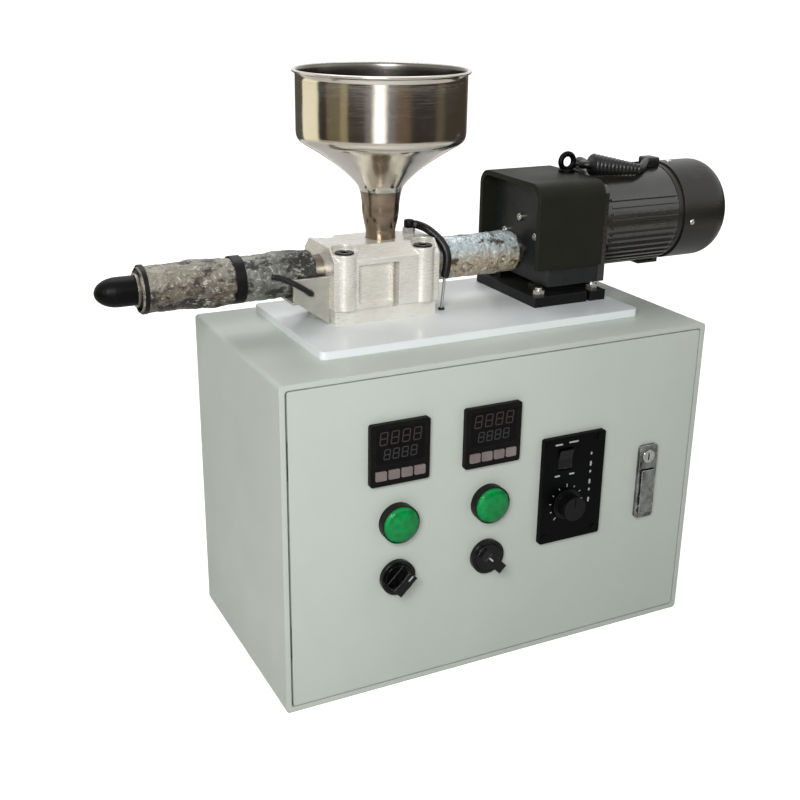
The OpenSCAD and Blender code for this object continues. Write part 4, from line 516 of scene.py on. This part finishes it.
finishes = {
    "cabinetPaint": ("cabinet_body", "door"),
    "zincSteel": ("mounting_panel",),
    "gearSteel": ("hinge_pins", "thrust_bearing", "motor_rotor", "idler_gears", "output_shaft",
                  "screw"),
    "ivoryPlastic": ("terminal_strip", "solid_state_relays"),
    "nylonBlack": ("cable_gland", "lagging_straps", "lamp_collars", "speed_knob", "cooling_fan"),
    "platePaint": ("base_plate",),
    "blockSteel": ("feed_block",),
    "screwBlack": ("feed_block_screws",),
    "barrelSteel": ("barrel", "bearing_housing"),
    "saddleSteel": ("barrel_saddle",),
    "blackSteel": ("nozzle", "lifting_eye"),
    "heaterSheet": ("heater_bands",),
    "frontFoil": ("barrel_lagging",),
    "sleeveFoil": ("bearing_lagging",),
    "bracketPaint": ("motor_bracket",),
    "hoodPaint": ("motor_hood",),
    "nutZinc": ("bracket_bolts",),
    "gearheadPaint": ("gearbox_case",),
    "motorPaint": ("motor_housing",),
    "coverPaint": ("motor_end_bell", "fan_cover"),
    "copperWinding": ("motor_stator",),
    "rubberBlack": ("motor_lead", "sensor_leads"),
    "gasketFoam": ("door_gasket",),
    "lockPlate": ("lock_housing",),
    "caseBlack": ("controller_cases",),
    "displayWindow": ("controller_windows",),
    "lensGreen": ("lamp_lenses",),
    "glossBlack": ("selector_bases", "selector_left", "selector_right", "run_switch"),
    "speedBlack": ("speed_controller",),
    "lockChrome": ("lock_handle",),
    "lockSilver": ("lock_cylinder",),
    "spunStainless": ("hopper",),
    "castAluminium": ("shaft_coupling",),
    "keyGrey": [f"key_{side}_{n}" for side in ("left", "right") for n in (1, 2, 3, 4)],
}
for lookName, nodeNames in finishes.items():
    for nodeName in nodeNames:
        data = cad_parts[nodeName].data
        data.materials.clear()
        data.materials.append(looks[lookName])


# Helpers for meshes

def addMesh(name, points, faces, material, body, smooth=True):
    data = bpy.data.meshes.new(name)
    data.from_pydata([tuple(p) for p in points], [], faces)
    data.validate()
    whole = bmesh.new()
    whole.from_mesh(data)
    bmesh.ops.recalc_face_normals(whole, faces=whole.faces)
    whole.to_mesh(data)
    whole.free()
    for face in data.polygons:
        face.use_smooth = smooth
    piece = bpy.data.objects.new(name, data)
    scene.collection.objects.link(piece)
    data.materials.append(material)
    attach(piece, body)
    return piece


def turns(sides):
    # the angles of one full circle
    return [2 * pi * k / sides for k in range(sides)]


def closedGrid(rows, columns, looped=False):
    # faces of a tube whose points come row by row, each row a closed ring
    faces = []
    for r in range(rows if looped else rows - 1):
        here, after = r * columns, (r + 1) % rows * columns
        for c in range(columns):
            n = (c + 1) % columns
            faces.append((here + c, here + n, after + n, after + c))
    return faces


def roundSpline(points, steps=6):
    # a smooth curve through the points
    smooth = []
    for i in range(len(points) - 1):
        a = Vector(points[max(i - 1, 0)])
        b, c = Vector(points[i]), Vector(points[i + 1])
        d = Vector(points[min(i + 2, len(points) - 1)])
        for k in range(steps):
            t = k / steps
            smooth.append(0.5 * (2 * b + (c - a) * t + (2 * a - 5 * b + 4 * c - d) * t * t
                                 + (3 * b - a - 3 * c + d) * t ** 3))
    smooth.append(Vector(points[-1]))
    return smooth


def sweep(path, radii, sides):
    # rings along a path, kept from twisting by carrying the first ring's side along
    points, side = [], None
    for i, here in enumerate(path):
        ahead = path[min(i + 1, len(path) - 1)] - path[max(i - 1, 0)]
        ahead.normalize()
        if side is None:
            side = ahead.orthogonal().normalized()
        side = (side - ahead * side.dot(ahead)).normalized()
        other = ahead.cross(side)
        points += [here + (side * cos(a) + other * sin(a)) * radii[i] for a in turns(sides)]
    faces = closedGrid(len(path), sides)
    faces.append(tuple(reversed(range(sides))))
    faces.append(tuple(range((len(path) - 1) * sides, len(path) * sides)))
    return points, faces


print("hopper")
hopper = {
    "x": -48 * mm, "y": 25 * mm, "blockTop": 313 * mm, "socketDepth": 8 * mm,
    "neck": 10 * mm, "bowl": 61 * mm, "coneHeight": 77 * mm, "bowlHeight": 44 * mm,
    "sheet": 1.2 * mm, "lip": 2.5 * mm, "weld": 36 * mm, "sides": 192,
    "start": 6 * mm, "wallSteps": 8,
    # shares of the sheet: how the lip springs off the wall and how thick its roll is
    "lipTurn": (0.0, 0.5, 1.0, 1.4), "lipLow": 1.5, "lipHigh": 2.2,
    "rollTurn": (1.4, 0.8, 0.2, -0.5, -1.1, -1.5), "roll": 1.1, "rollEnd": 1.9,
    # the flare from the neck up: radius as a share of the bowl's, height as a share of the cone's
    "flare": [(0.20, 0.22), (0.212, 0.35), (0.24, 0.465), (0.30, 0.55), (0.485, 0.69),
              (0.735, 0.83), (0.93, 0.925), (0.985, 0.965)],
}


def makeHopper(s):
    top, sheet, sides = s["blockTop"], s["sheet"], s["sides"]
    wallZ, rimZ = top + s["coneHeight"], top + s["coneHeight"] + s["bowlHeight"]
    cone = [(s["neck"], 0, top + s["start"])]
    cone += [(s["bowl"] * r, 0, top + s["coneHeight"] * h) for r, h in s["flare"]]
    cone.append((s["bowl"], 0, wallZ + sheet))
    profile = [Vector((s["neck"], 0, z)) for z in (top - s["socketDepth"], top)] + roundSpline(cone)
    profile += [Vector((s["bowl"], 0, wallZ + (rimZ - wallZ) * k / s["wallSteps"]))
                for k in range(1, s["wallSteps"])]
    plain = len(profile)
    low, high = rimZ - sheet * s["lipLow"], sheet * s["lipHigh"]
    for a in s["lipTurn"]:
        profile.append(Vector((s["bowl"] + sheet * (1 - cos(a)), 0, low + high * sin(a))))
    outerEdge, roll = s["bowl"] + s["lip"] + sheet, sheet * s["roll"]
    for a in s["rollTurn"]:
        profile.append(Vector((outerEdge - roll + roll * cos(a), 0, rimZ + sheet * sin(a))))
    profile.append(Vector((s["bowl"] + sheet * s["rollEnd"], 0, rimZ - sheet)))
    for i in range(plain, -1, -1):      # back down the outside, one sheet away
        run = (profile[i + 1] - profile[max(i - 1, 0)]).normalized()
        profile.append(profile[i] + Vector((run.z, 0, -run.x)) * sheet)
    points = [(s["x"] + p.x * cos(a), s["y"] + p.x * sin(a), p.z)
              for p in profile for a in turns(sides)]
    faces = closedGrid(len(profile), sides, looped=True)
    piece = addMesh("hopperShell", points, faces, looks["spunStainless"], "hopper")
    inside, warm = 1, 2
    piece.data.materials.append(looks["scuffedStainless"])
    piece.data.materials.append(looks["tintedStainless"])
    for face in piece.data.polygons:
        out = Vector((face.center.x - s["x"], face.center.y - s["y"], 0)).normalized()
        if face.normal.dot(out) < -0.3:
            face.material_index = inside
        elif face.center.z < top + s["weld"]:
            face.material_index = warm
    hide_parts("hopper")


makeHopper(hopper)

print("foil wraps")
wraps = {
    "y": 25 * mm, "z": 292 * mm, "radius": 16.4 * mm, "inside": 15.2 * mm, "around": 220,
    "along": 170, "crease": 0.9 * mm, "plain": 0.75, "falloff": 2.718, "turnFalloff": 2.2,
    # the ends are pressed down on the barrel, over this length, and are a little ragged
    "edge": 2.2 * mm, "press": 1.1 * mm, "ragged": 0.9 * mm, "raggedTurn": 2.2, "raggedRun": 2,
}
sleeves = {
    # bulges: place along x, turn round the barrel, height and width
    "front": {"from": -234 * mm, "to": -166 * mm, "sag": 0.5 * mm, "seed": 3.0,
              "bulges": [(-193, 80, 1.3, 9), (-182, -80, 2.2, 13)],
              "node": "barrel_lagging", "slot": "foil_lagging"},
    "rear": {"from": -161 * mm, "to": -106 * mm, "sag": 0.6 * mm, "seed": 17.0,
             "bulges": [(-128, 60, 1.5, 12)],
             "node": "barrel_lagging", "slot": "foil_lagging"},
    "sleeve": {"from": -8 * mm, "to": 67 * mm, "sag": 0.4 * mm, "seed": 29.0,
               "bulges": [(52, 20, 1.2, 9)],
               "node": "bearing_lagging", "slot": "foil_sleeve"},
}
# folds at three sizes: how close they come, how high they are, and how far each is shifted
folds = ((0.085, 1.5, 1.0), (0.21, 0.9, 1.7), (0.5, 0.5, 2.3))


def crumple(at, seed):
    # each sharp ridge is where the noise crosses zero
    p = Vector(at) / mm
    shift = Vector((seed * 7.3, seed * 3.1, seed * 5.7))
    return 1.0 - sum(abs(noise.noise(p * close + shift * apart)) * high
                     for close, high, apart in folds)


def makeWrap(name, s, w):
    points = []
    length, radius = w["to"] - w["from"], s["radius"]
    for i in range(s["along"]):
        share = i / (s["along"] - 1)
        x0 = w["from"] + length * share
        for a in turns(s["around"]):
            base = Vector((x0, s["y"] + radius * cos(a), s["z"] + radius * sin(a)))
            fold = s["crease"] * (crumple(base, w["seed"]) - s["plain"])
            r = radius + fold + w["sag"] * max(-sin(a), 0)
            for x, turn, high, wide in w["bulges"]:
                aside = (1 - cos(a - radians(turn))) * s["turnFalloff"]
                away = ((base.x / mm - x) / wide) ** 2 + aside
                r += high * mm * s["falloff"] ** -away
            inward = min(min(share, 1 - share) * length / s["edge"], 1)
            r -= (1 - inward) ** 2 * s["press"]
            spot = Vector((a * s["raggedTurn"], w["seed"], share * s["raggedRun"]))
            ragged = noise.noise(spot) * s["ragged"] * (1 - inward)
            points.append((base.x + ragged, s["y"] + r * cos(a), s["z"] + r * sin(a)))
    rows = s["along"]
    faces = closedGrid(rows, s["around"])
    for end, flip in ((0, True), (rows - 1, False)):
        start = len(points)
        for k, a in enumerate(turns(s["around"])):
            x = points[end * s["around"] + k][0]
            points.append((x, s["y"] + s["inside"] * cos(a), s["z"] + s["inside"] * sin(a)))
        for k in range(s["around"]):
            n = (k + 1) % s["around"]
            quad = (end * s["around"] + k, start + k, start + n, end * s["around"] + n)
            faces.append(quad if not flip else tuple(reversed(quad)))
    piece = addMesh(name + "Wrap", points, faces, looks[name + "Foil"], "cabinet")
    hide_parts(w["node"])


for wrapName, values in sleeves.items():
    makeWrap(wrapName, wraps, values)

print("screws")
screws = {
    # heads with a hexagon socket, in millimetres; looks: away from the circle's middle or along -x
    "gearheadScrews": {
        "radius": 3.0, "high": 3.0, "socket": 1.6, "deep": 1.5, "chamfer": 0.4,
        "middle": (78, 25, 292), "circle": 26, "angles": (26.4, 86.4, 146.4), "looks": "along"},
    "fanCoverScrews": {
        "radius": 2.3, "high": 1.3, "socket": 1.1, "deep": 0.8, "chamfer": 0.5,
        "middle": (216, 25, 314), "circle": 40.4, "angles": (5, 95, 185, 275), "looks": "out"},
}


def makeScrews(name, s, material, sides=24, sink=0.3, middle=0.2):
    points, faces = [], []
    for angle in s["angles"]:
        a = radians(angle)
        out = Vector((0, cos(a), sin(a)))
        facing = out if s["looks"] == "out" else Vector((-1, 0, 0))
        foot = Vector(s["middle"]) + out * s["circle"]
        across = facing.orthogonal().normalized()
        beside = facing.cross(across)
        hexagon = lambda t: s["socket"] / cos((t % (pi / 3)) - pi / 6)
        rings = [(lambda t: s["radius"], -sink), (lambda t: s["radius"], s["high"] - s["chamfer"]),
                 (lambda t: s["radius"] - s["chamfer"], s["high"]), (hexagon, s["high"]),
                 (hexagon, s["high"] - s["deep"]), (lambda t: middle, s["high"] - s["deep"])]
        start = len(points)
        for radiusAt, height in rings:
            for t in turns(sides):
                spot = foot + facing * height + (across * cos(t) + beside * sin(t)) * radiusAt(t)
                points.append(spot * mm)
        faces += [tuple(start + i for i in face) for face in closedGrid(len(rings), sides)]
        faces.append(tuple(start + (len(rings) - 1) * sides + k for k in range(sides)))
    piece = addMesh(name, points, faces, material, "cabinet", smooth=False)


for screwSet, values in screws.items():
    makeScrews(screwSet, values, looks["nutZinc"])

print("leads")
motorLead = {
    # points are measured from the motor's axis, where it leaves the gearbox
    "from": (125, 25, 314), "radius": 3.2, "sides": 20,
    "start": [(69, -6, 42.2), (65, -7.5, 42.2), (60, -11.5, 41.6), (55, -16, 40.4),
              (50, -19.2, 39.4), (45, -20.3, 39.2)],
    "down": [(9, -17.2, 44.2), (3, -17, 44.8), (-0.4, -15.4, 44.8), (-1.4, -12, 44.4),
             (0.6, -8.4, 43.8), (4.6, -5.8, 43.5), (7.6, -2, 43.6), (9.4, 3.5, 43.8),
             (11.5, 11, 43.4), (14, 19.5, 40), (16.5, 28, 34.5), (18.5, 36, 26.5), (20, 42, 17),
             (21, 46.5, 4), (21, 49, -9), (21, 50, -22), (21, 50, -35), (21, 50, -47),
             (21, 50, -58), (21, 50, -68)],
    "sleeveFrom": (48, -20.5, 39), "sleeveTo": (3, -17.5, 45),
    "sleeveThin": 4.4, "sleeveThick": 9.0, "sleeveSides": 28,
    "groove": 1.2, "ribs": 12, "ribSteps": 10, "ribShape": 0.6,
    "boxLow": (65, -10.2, 37), "boxHigh": (77, 3.8, 45.5), "boxRadius": 1.6,
}
sensorLead = {
    # points are measured from the middle of the feed block's top
    "from": (-55, 25, 313), "radius": 3.2, "rodRadius": 1.1, "wireRadius": 2.0, "sides": 18,
    "lead": [(34, 6, 5.5), (37.5, 5.5, 6), (41, 3, 5.4), (44.5, -4, 3.6), (49.5, -11, -1.7),
             (52.6, -16, -7.5), (54.2, -19, -14.4), (53.6, -20, -22.8), (52.2, -19.6, -31)],
    "rod": [(52.4, -19.6, -28), (52, -19.2, -37), (51.5, -18.6, -47), (51, -18, -56),
            (51, -18, -67)],
    # height and radius of each ring, from the foot up
    "probe": (34, 6, 0), "nutRings": [(0, 4.75), (0.3, 5.0), (3.6, 5.0), (4.0, 4.65)],
    "capRings": [(4.0, 3.9), (8.8, 3.9), (9.7, 3.51), (10.0, 2.34)],
    "grommet": (51, -18, -57), "grommetRings": [(0, 2.6), (1.1, 2.6), (1.6, 2.0)],
    # measured from where the barrel's axis enters the block
    "wireFrom": (-98, 25, 292),
    "wire": [(-44, -18.4, 4), (-38, -19.2, 2.6), (-32, -20.8, -0.2), (-27, -22.1, -2.8),
             (-20.5, -23, -7), (-16.5, -23, -10), (-15, -21, -11), (-15, -18.5, -11),
             (-15, -16, -11)],
}


def metres(points, origin=(0, 0, 0)):
    return [(Vector(p) + Vector(origin)) * mm for p in points]


def joined(name, parts, material, body, smooth=True):
    # several closed shells as one piece
    points, faces = [], []
    for partPoints, partFaces in parts:
        start = len(points)
        points += partPoints
        faces += [tuple(start + i for i in face) for face in partFaces]
    return addMesh(name, points, faces, material, body, smooth)


def tube(path, radius, sides):
    # radius in millimetres
    return sweep(path, [radius * mm] * len(path), sides)


def roundedBox(low, high, radius, steps=3):
    mesh = bmesh.new()
    bmesh.ops.create_cube(mesh, size=1.0)
    centre = [(a + b) / 2 for a, b in zip(low, high)]
    size = [b - a for a, b in zip(low, high)]
    for v in mesh.verts:
        v.co = Vector([v.co[i] * size[i] + centre[i] for i in range(3)])
    bmesh.ops.bevel(mesh, geom=mesh.edges[:], offset=radius, segments=steps, affect="EDGES",
                    profile=0.5)
    mesh.verts.index_update()
    points = [v.co.copy() for v in mesh.verts]
    faces = [tuple(v.index for v in face.verts) for face in mesh.faces]
    mesh.free()
    return points, faces


def ribbedSleeve(s):
    a, b = metres((s["sleeveFrom"], s["sleeveTo"]), s["from"])
    path, radii = [], []
    steps = s["ribs"] * s["ribSteps"]
    for i in range(steps + 1):
        share = i / steps
        path.append(a.lerp(b, share))
        rib = (0.5 - 0.5 * cos(2 * pi * s["ribs"] * share)) ** s["ribShape"]
        crest = s["sleeveThin"] + (s["sleeveThick"] - s["sleeveThin"]) * share
        radii.append((crest - s["groove"] * (1 - rib)) * mm)
    return sweep(path, radii, s["sleeveSides"])


def makeMotorLead(s):
    start = roundSpline(metres(s["start"], s["from"]), 5)
    down = roundSpline(metres(s["down"], s["from"]))
    boxLow, boxHigh = metres((s["boxLow"], s["boxHigh"]), s["from"])
    parts = [tube(path, s["radius"], s["sides"]) for path in (start, down)]
    parts += [ribbedSleeve(s), roundedBox(boxLow, boxHigh, s["boxRadius"] * mm)]
    piece = joined("motorLeadRun", parts, looks["rubberBlack"], "cabinet")
    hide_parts("motor_lead")


def stack(base, rings, sides):
    # rings of the given height and radius in millimetres, one above the other
    path = [base + Vector((0, 0, z * mm)) for z, r in rings]
    return sweep(path, [r * mm for z, r in rings], sides)


def makeSensorLeads(s):
    lead, rod = (roundSpline(metres(s[part], s["from"])) for part in ("lead", "rod"))
    wire = roundSpline(metres(s["wire"], s["wireFrom"]))
    probe, grommet = metres((s["probe"], s["grommet"]), s["from"])
    black, zinc = looks["rubberBlack"], looks["zincSteel"]
    cables = [tube(lead, s["radius"], s["sides"]), tube(wire, s["wireRadius"], s["sides"]),
              stack(grommet, s["grommetRings"], 24)]
    pieces = [
        joined("sensorLeadRun", cables, black, "cabinet"),
        addMesh("sensorProbe", *stack(probe, s["nutRings"], 6), zinc, "cabinet", smooth=False),
        addMesh("sensorProbeCap", *stack(probe, s["capRings"], 24), looks["nylonBlack"], "cabinet"),
        addMesh("sensorRod", *tube(rod, s["rodRadius"], 12), zinc, "cabinet"),
    ]
    for piece in pieces:
        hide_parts("sensor_leads")


makeMotorLead(motorLead)
makeSensorLeads(sensorLead)

print("display and scale marks")
displays = {
    "columns": (-88.5, -14), "face": -94.0,
    "digitWidth": 5.4, "digitHeight": 9.0, "bar": 0.9, "slant": 0.10, "digits": 4, "step": 8.6,
    "lift": 0.12, "sink": 0.4,
    # height, share of the full size and look of each row
    "rows": {"Upper": (202.5, 1.0, "segmentUpper"), "Lower": (190.5, 0.8, "segmentLower")},
}


def bar(x0, z0, x1, z1, width, y0, y1):
    # one flat bar with pointed ends, standing a hair proud of the face behind it
    a, b = Vector((x0, z0)), Vector((x1, z1))
    run = (b - a).normalized()
    side = Vector((-run.y, run.x)) * width / 2
    tip = run * width / 2
    outline = [a, a + tip + side, b - tip + side, b, b - tip - side, a + tip - side]
    points = [Vector((p.x, y, p.y)) * mm for y in (y0, y1) for p in outline]
    n = len(outline)
    faces = [tuple(reversed(range(n))), tuple(range(n, 2 * n))]
    faces += [(i, (i + 1) % n, n + (i + 1) % n, n + i) for i in range(n)]
    return points, faces


def digitBars(x, z, s, y0, y1):
    w, h, lean = s["digitWidth"], s["digitHeight"], s["slant"]
    corner = lambda u, v: (x + u * w / 2 + lean * v * h / 2, z + v * h / 2)
    pairs = [((-1, 1), (1, 1)), ((-1, 0), (1, 0)), ((-1, -1), (1, -1)),
             ((-1, 1), (-1, 0)), ((1, 1), (1, 0)), ((-1, 0), (-1, -1)), ((1, 0), (1, -1))]
    return [bar(*corner(*a), *corner(*b), s["bar"], y0, y1) for a, b in pairs]


def makeDisplays(s):
    for side, x in zip(("Left", "Right"), s["columns"]):
        for row, (z, scale, look) in s["rows"].items():
            bars = []
            sized = dict(s, digitWidth=s["digitWidth"] * scale,
                         digitHeight=s["digitHeight"] * scale)
            for i in range(s["digits"]):
                at = x + (i - (s["digits"] - 1) / 2) * s["step"] * scale
                bars += digitBars(at, z, sized, s["face"] - s["lift"], s["face"] + s["sink"])
            piece = joined(f"segments{row}{side}", bars, looks[look], "door", smooth=False)


makeDisplays(displays)

speedMarks = {
    "face": -94.0, "lift": 0.10, "knob": (53, 123), "inner": 13.4, "outer": 16.2, "ticks": 11,
    "sweepFrom": 230, "sweep": 280, "bar": 0.7, "sink": 0.5, "long": 5, "shorter": 1.0,
    # plain guide marks: a pair over the switch and one under it, a short column at the right
    "guides": ((40, 47, 172.5), (52, 61, 173.0), (41, 46, 147.0), (54, 59, 147.0)),
    "guideWidth": 1.3,
    "column": {"x": 73.5, "top": 162, "step": 7.5, "count": 6, "lengths": (2.6, 4.4), "width": 1.6},
}


def makeSpeedMarks(s):
    marks = []
    y0, y1 = s["face"] - s["lift"], s["face"] + s["sink"]
    cx, cz = s["knob"]
    for i in range(s["ticks"]):
        a = radians(s["sweepFrom"] - s["sweep"] * i / (s["ticks"] - 1))
        r1 = s["outer"] if i % s["long"] == 0 else s["outer"] - s["shorter"]
        ends = [(cx + r * cos(a), cz + r * sin(a)) for r in (s["inner"], r1)]
        marks.append(bar(*ends[0], *ends[1], s["bar"], y0, y1))
    marks += [bar(x0, z, x1, z, s["guideWidth"], y0, y1) for x0, x1, z in s["guides"]]
    c = s["column"]
    for i in range(c["count"]):
        z = c["top"] - i * c["step"]
        marks.append(bar(c["x"], z, c["x"], z - c["lengths"][i % 2], c["width"], y0, y1))
    piece = joined("speedMarks", marks, looks["markWhite"], "door", smooth=False)


makeSpeedMarks(speedMarks)

selectorMarks = {
    "z": 92, "columns": (-88.5, -14), "angles": (-45, 45), "face": -105.2, "inner": 3.2,
    "length": 5.2, "width": 1.3, "lift": 0.1, "sink": 0.5,
}


def makeSelectorMarks(s):
    reach = (s["inner"], s["inner"] + s["length"])
    for side, x, angle in zip(("left", "right"), s["columns"], s["angles"]):
        a = radians(90 + angle)
        ends = [(x + cos(a) * r, s["z"] + sin(a) * r) for r in reach]
        line = bar(*ends[0], *ends[1], s["width"], s["face"] - s["lift"], s["face"] + s["sink"])
        name = f"pointer{side.capitalize()}"
        piece = joined(name, [line], looks["markWhite"], f"selector_{side}", smooth=False)


makeSelectorMarks(selectorMarks)

print("stage and light")
studio = {
    "floorZ": 0.0, "floorSize": 60.0, "floorTone": (214, 214, 212), "floorLift": 0.82,
    "liftFrom": (0.6, 1.8), "world": 0.23, "mirrored": 0.22,
    "key": {"at": (-0.60, -0.78, 0.70), "aim": (-0.05, -0.05, 0.18), "size": (0.4, 0.4),
            "power": 8.5},
    "fill": {"at": (1.9, -1.3, 1.1), "aim": (0.05, 0, 0.25), "size": (1.2, 1.6), "power": 2},
    "top": {"at": (0.2, 0.9, 2.0), "aim": (0, 0, 0.3), "size": (1.6, 1.0), "power": 15},
}

# a ring of shop surroundings that only gloss and polished metal see
surroundings = {
    "middle": (-0.048, 0.025), "radius": 0.75, "height": 0.385, "sides": 192, "behind": 64.3,
    "skirt": {"height": 0.15, "colour": (236, 234, 228), "strength": 0.9},
    # degrees from the back, counter-clockwise from above, with the tone and strength from there on
    "bands": [
        (0, (120, 116, 104), 0.5), (56, (250, 244, 218), 1.25), (91, (58, 52, 46), 0.5),
        (107, (150, 136, 104), 0.6), (127, (186, 172, 132), 0.8), (137, (84, 74, 64), 0.5),
        (160, (150, 146, 142), 0.6), (171, (255, 255, 255), 2.2), (186, (150, 148, 150), 0.7),
        (198, (136, 114, 90), 0.6), (218, (66, 58, 50), 0.45), (255, (124, 114, 86), 0.6),
        (268, (84, 76, 62), 0.5), (332, (140, 136, 126), 0.6),
    ],
}


def addLight(name, s):
    data = bpy.data.lights.new(name, "AREA")
    data.shape = "RECTANGLE"
    data.size, data.size_y = s["size"]
    data.energy = s["power"]
    lamp = bpy.data.objects.new(name, data)
    lamp.location = s["at"]
    lamp.rotation_mode = "QUATERNION"
    lamp.rotation_quaternion = (Vector(s["aim"]) - Vector(s["at"])).to_track_quat("-Z", "Y")
    lamp.visible_camera = False
    scene.collection.objects.link(lamp)


def sight(t, mirrored):
    # 1 where the eye sees it straight on or through glass, and the given share in a mirror
    path = t.add("LightPath").outputs
    reflected = t.math("MULTIPLY", path["Is Glossy Ray"], mirrored)
    seen = t.math("MAXIMUM", path["Is Camera Ray"], reflected)
    return t.math("MAXIMUM", seen, path["Is Transmission Ray"])


def addWorld(s):
    world = bpy.data.worlds.new("studio")
    scene.world = world
    world.use_nodes = True
    world.node_tree.nodes.clear()
    t = Tree(world.node_tree)
    strength = t.ramp(sight(t, 1.0), s["world"], 1.0, 0.0, 1.0)
    sky = t.add("Background", {"Color": (1, 1, 1, 1), "Strength": strength})
    t.add("OutputWorld", {"Surface": sky.outputs["Background"]})


def addFloor(s):
    f = Finish("floorPaper", Roughness=0.9, specular=0.0, Emission_Color=(1, 1, 1, 1))
    # whiter with the distance, so that the shadow stays and the paper has no horizon
    away = f.add("VectorMath", {0: f.points()}, operation="LENGTH").outputs["Value"]
    seen = sight(f, s["mirrored"])
    lift = f.math("MULTIPLY", seen, f.ramp(away, s["floorLift"], 1.0, *s["liftFrom"]))
    paper = f.tone((s["floorTone"], s["floorTone"]), 3.0, dim=0.98)
    f.close(Base_Color=paper, Emission_Strength=lift)
    half = s["floorSize"] / 2
    corners = [(x * half, y * half, s["floorZ"]) for x, y in ((-1, -1), (1, -1), (1, 1), (-1, 1))]
    data = bpy.data.meshes.new("floor")
    data.from_pydata(corners, [], [(0, 1, 2, 3)])
    data.materials.append(f.material)
    floor = bpy.data.objects.new("floor", data)
    scene.collection.objects.link(floor)


def addSurroundings(s):
    # what polished metal sees round it: a pale skirt below, upright bands of tone above
    points, faces, tones = [], [], []
    bandAt = lambda degrees: max(i for i, band in enumerate(s["bands"]) if band[0] <= degrees)
    x0, y0 = s["middle"]
    for k in range(s["sides"]):
        a = radians(s["behind"] + 360 * k / s["sides"])
        for z in (0.0, s["skirt"]["height"], s["height"]):
            points.append((x0 + s["radius"] * cos(a), y0 + s["radius"] * sin(a), z))
    for k in range(s["sides"]):
        n = (k + 1) % s["sides"]
        for tier in (0, 1):
            faces.append((3 * k + tier, 3 * n + tier, 3 * n + tier + 1, 3 * k + tier + 1))
            tones.append(bandAt(360 * (k + 0.5) / s["sides"]) if tier else len(s["bands"]))
    data = bpy.data.meshes.new("surroundings")
    data.from_pydata(points, [], faces)
    glows = [(colour, strength) for start, colour, strength in s["bands"]]
    glows.append((s["skirt"]["colour"], s["skirt"]["strength"]))
    for i, (colour, strength) in enumerate(glows):
        f = Finish(f"band{i}", Roughness=1.0, Base_Color=(0, 0, 0, 1), Emission_Color=rgb(*colour),
                   Emission_Strength=strength)
        data.materials.append(f.material)
    for face, tone in zip(data.polygons, tones):
        face.material_index = tone
    ring = bpy.data.objects.new("surroundings", data)
    ring.visible_camera = ring.visible_diffuse = ring.visible_shadow = False
    ring.visible_transmission = ring.visible_volume_scatter = False
    scene.collection.objects.link(ring)


for lampName in ("key", "fill", "top"):
    addLight(lampName + "Light", studio[lampName])
addWorld(studio)
addFloor(studio)
addSurroundings(surroundings)

scene.view_settings.view_transform = "Standard"
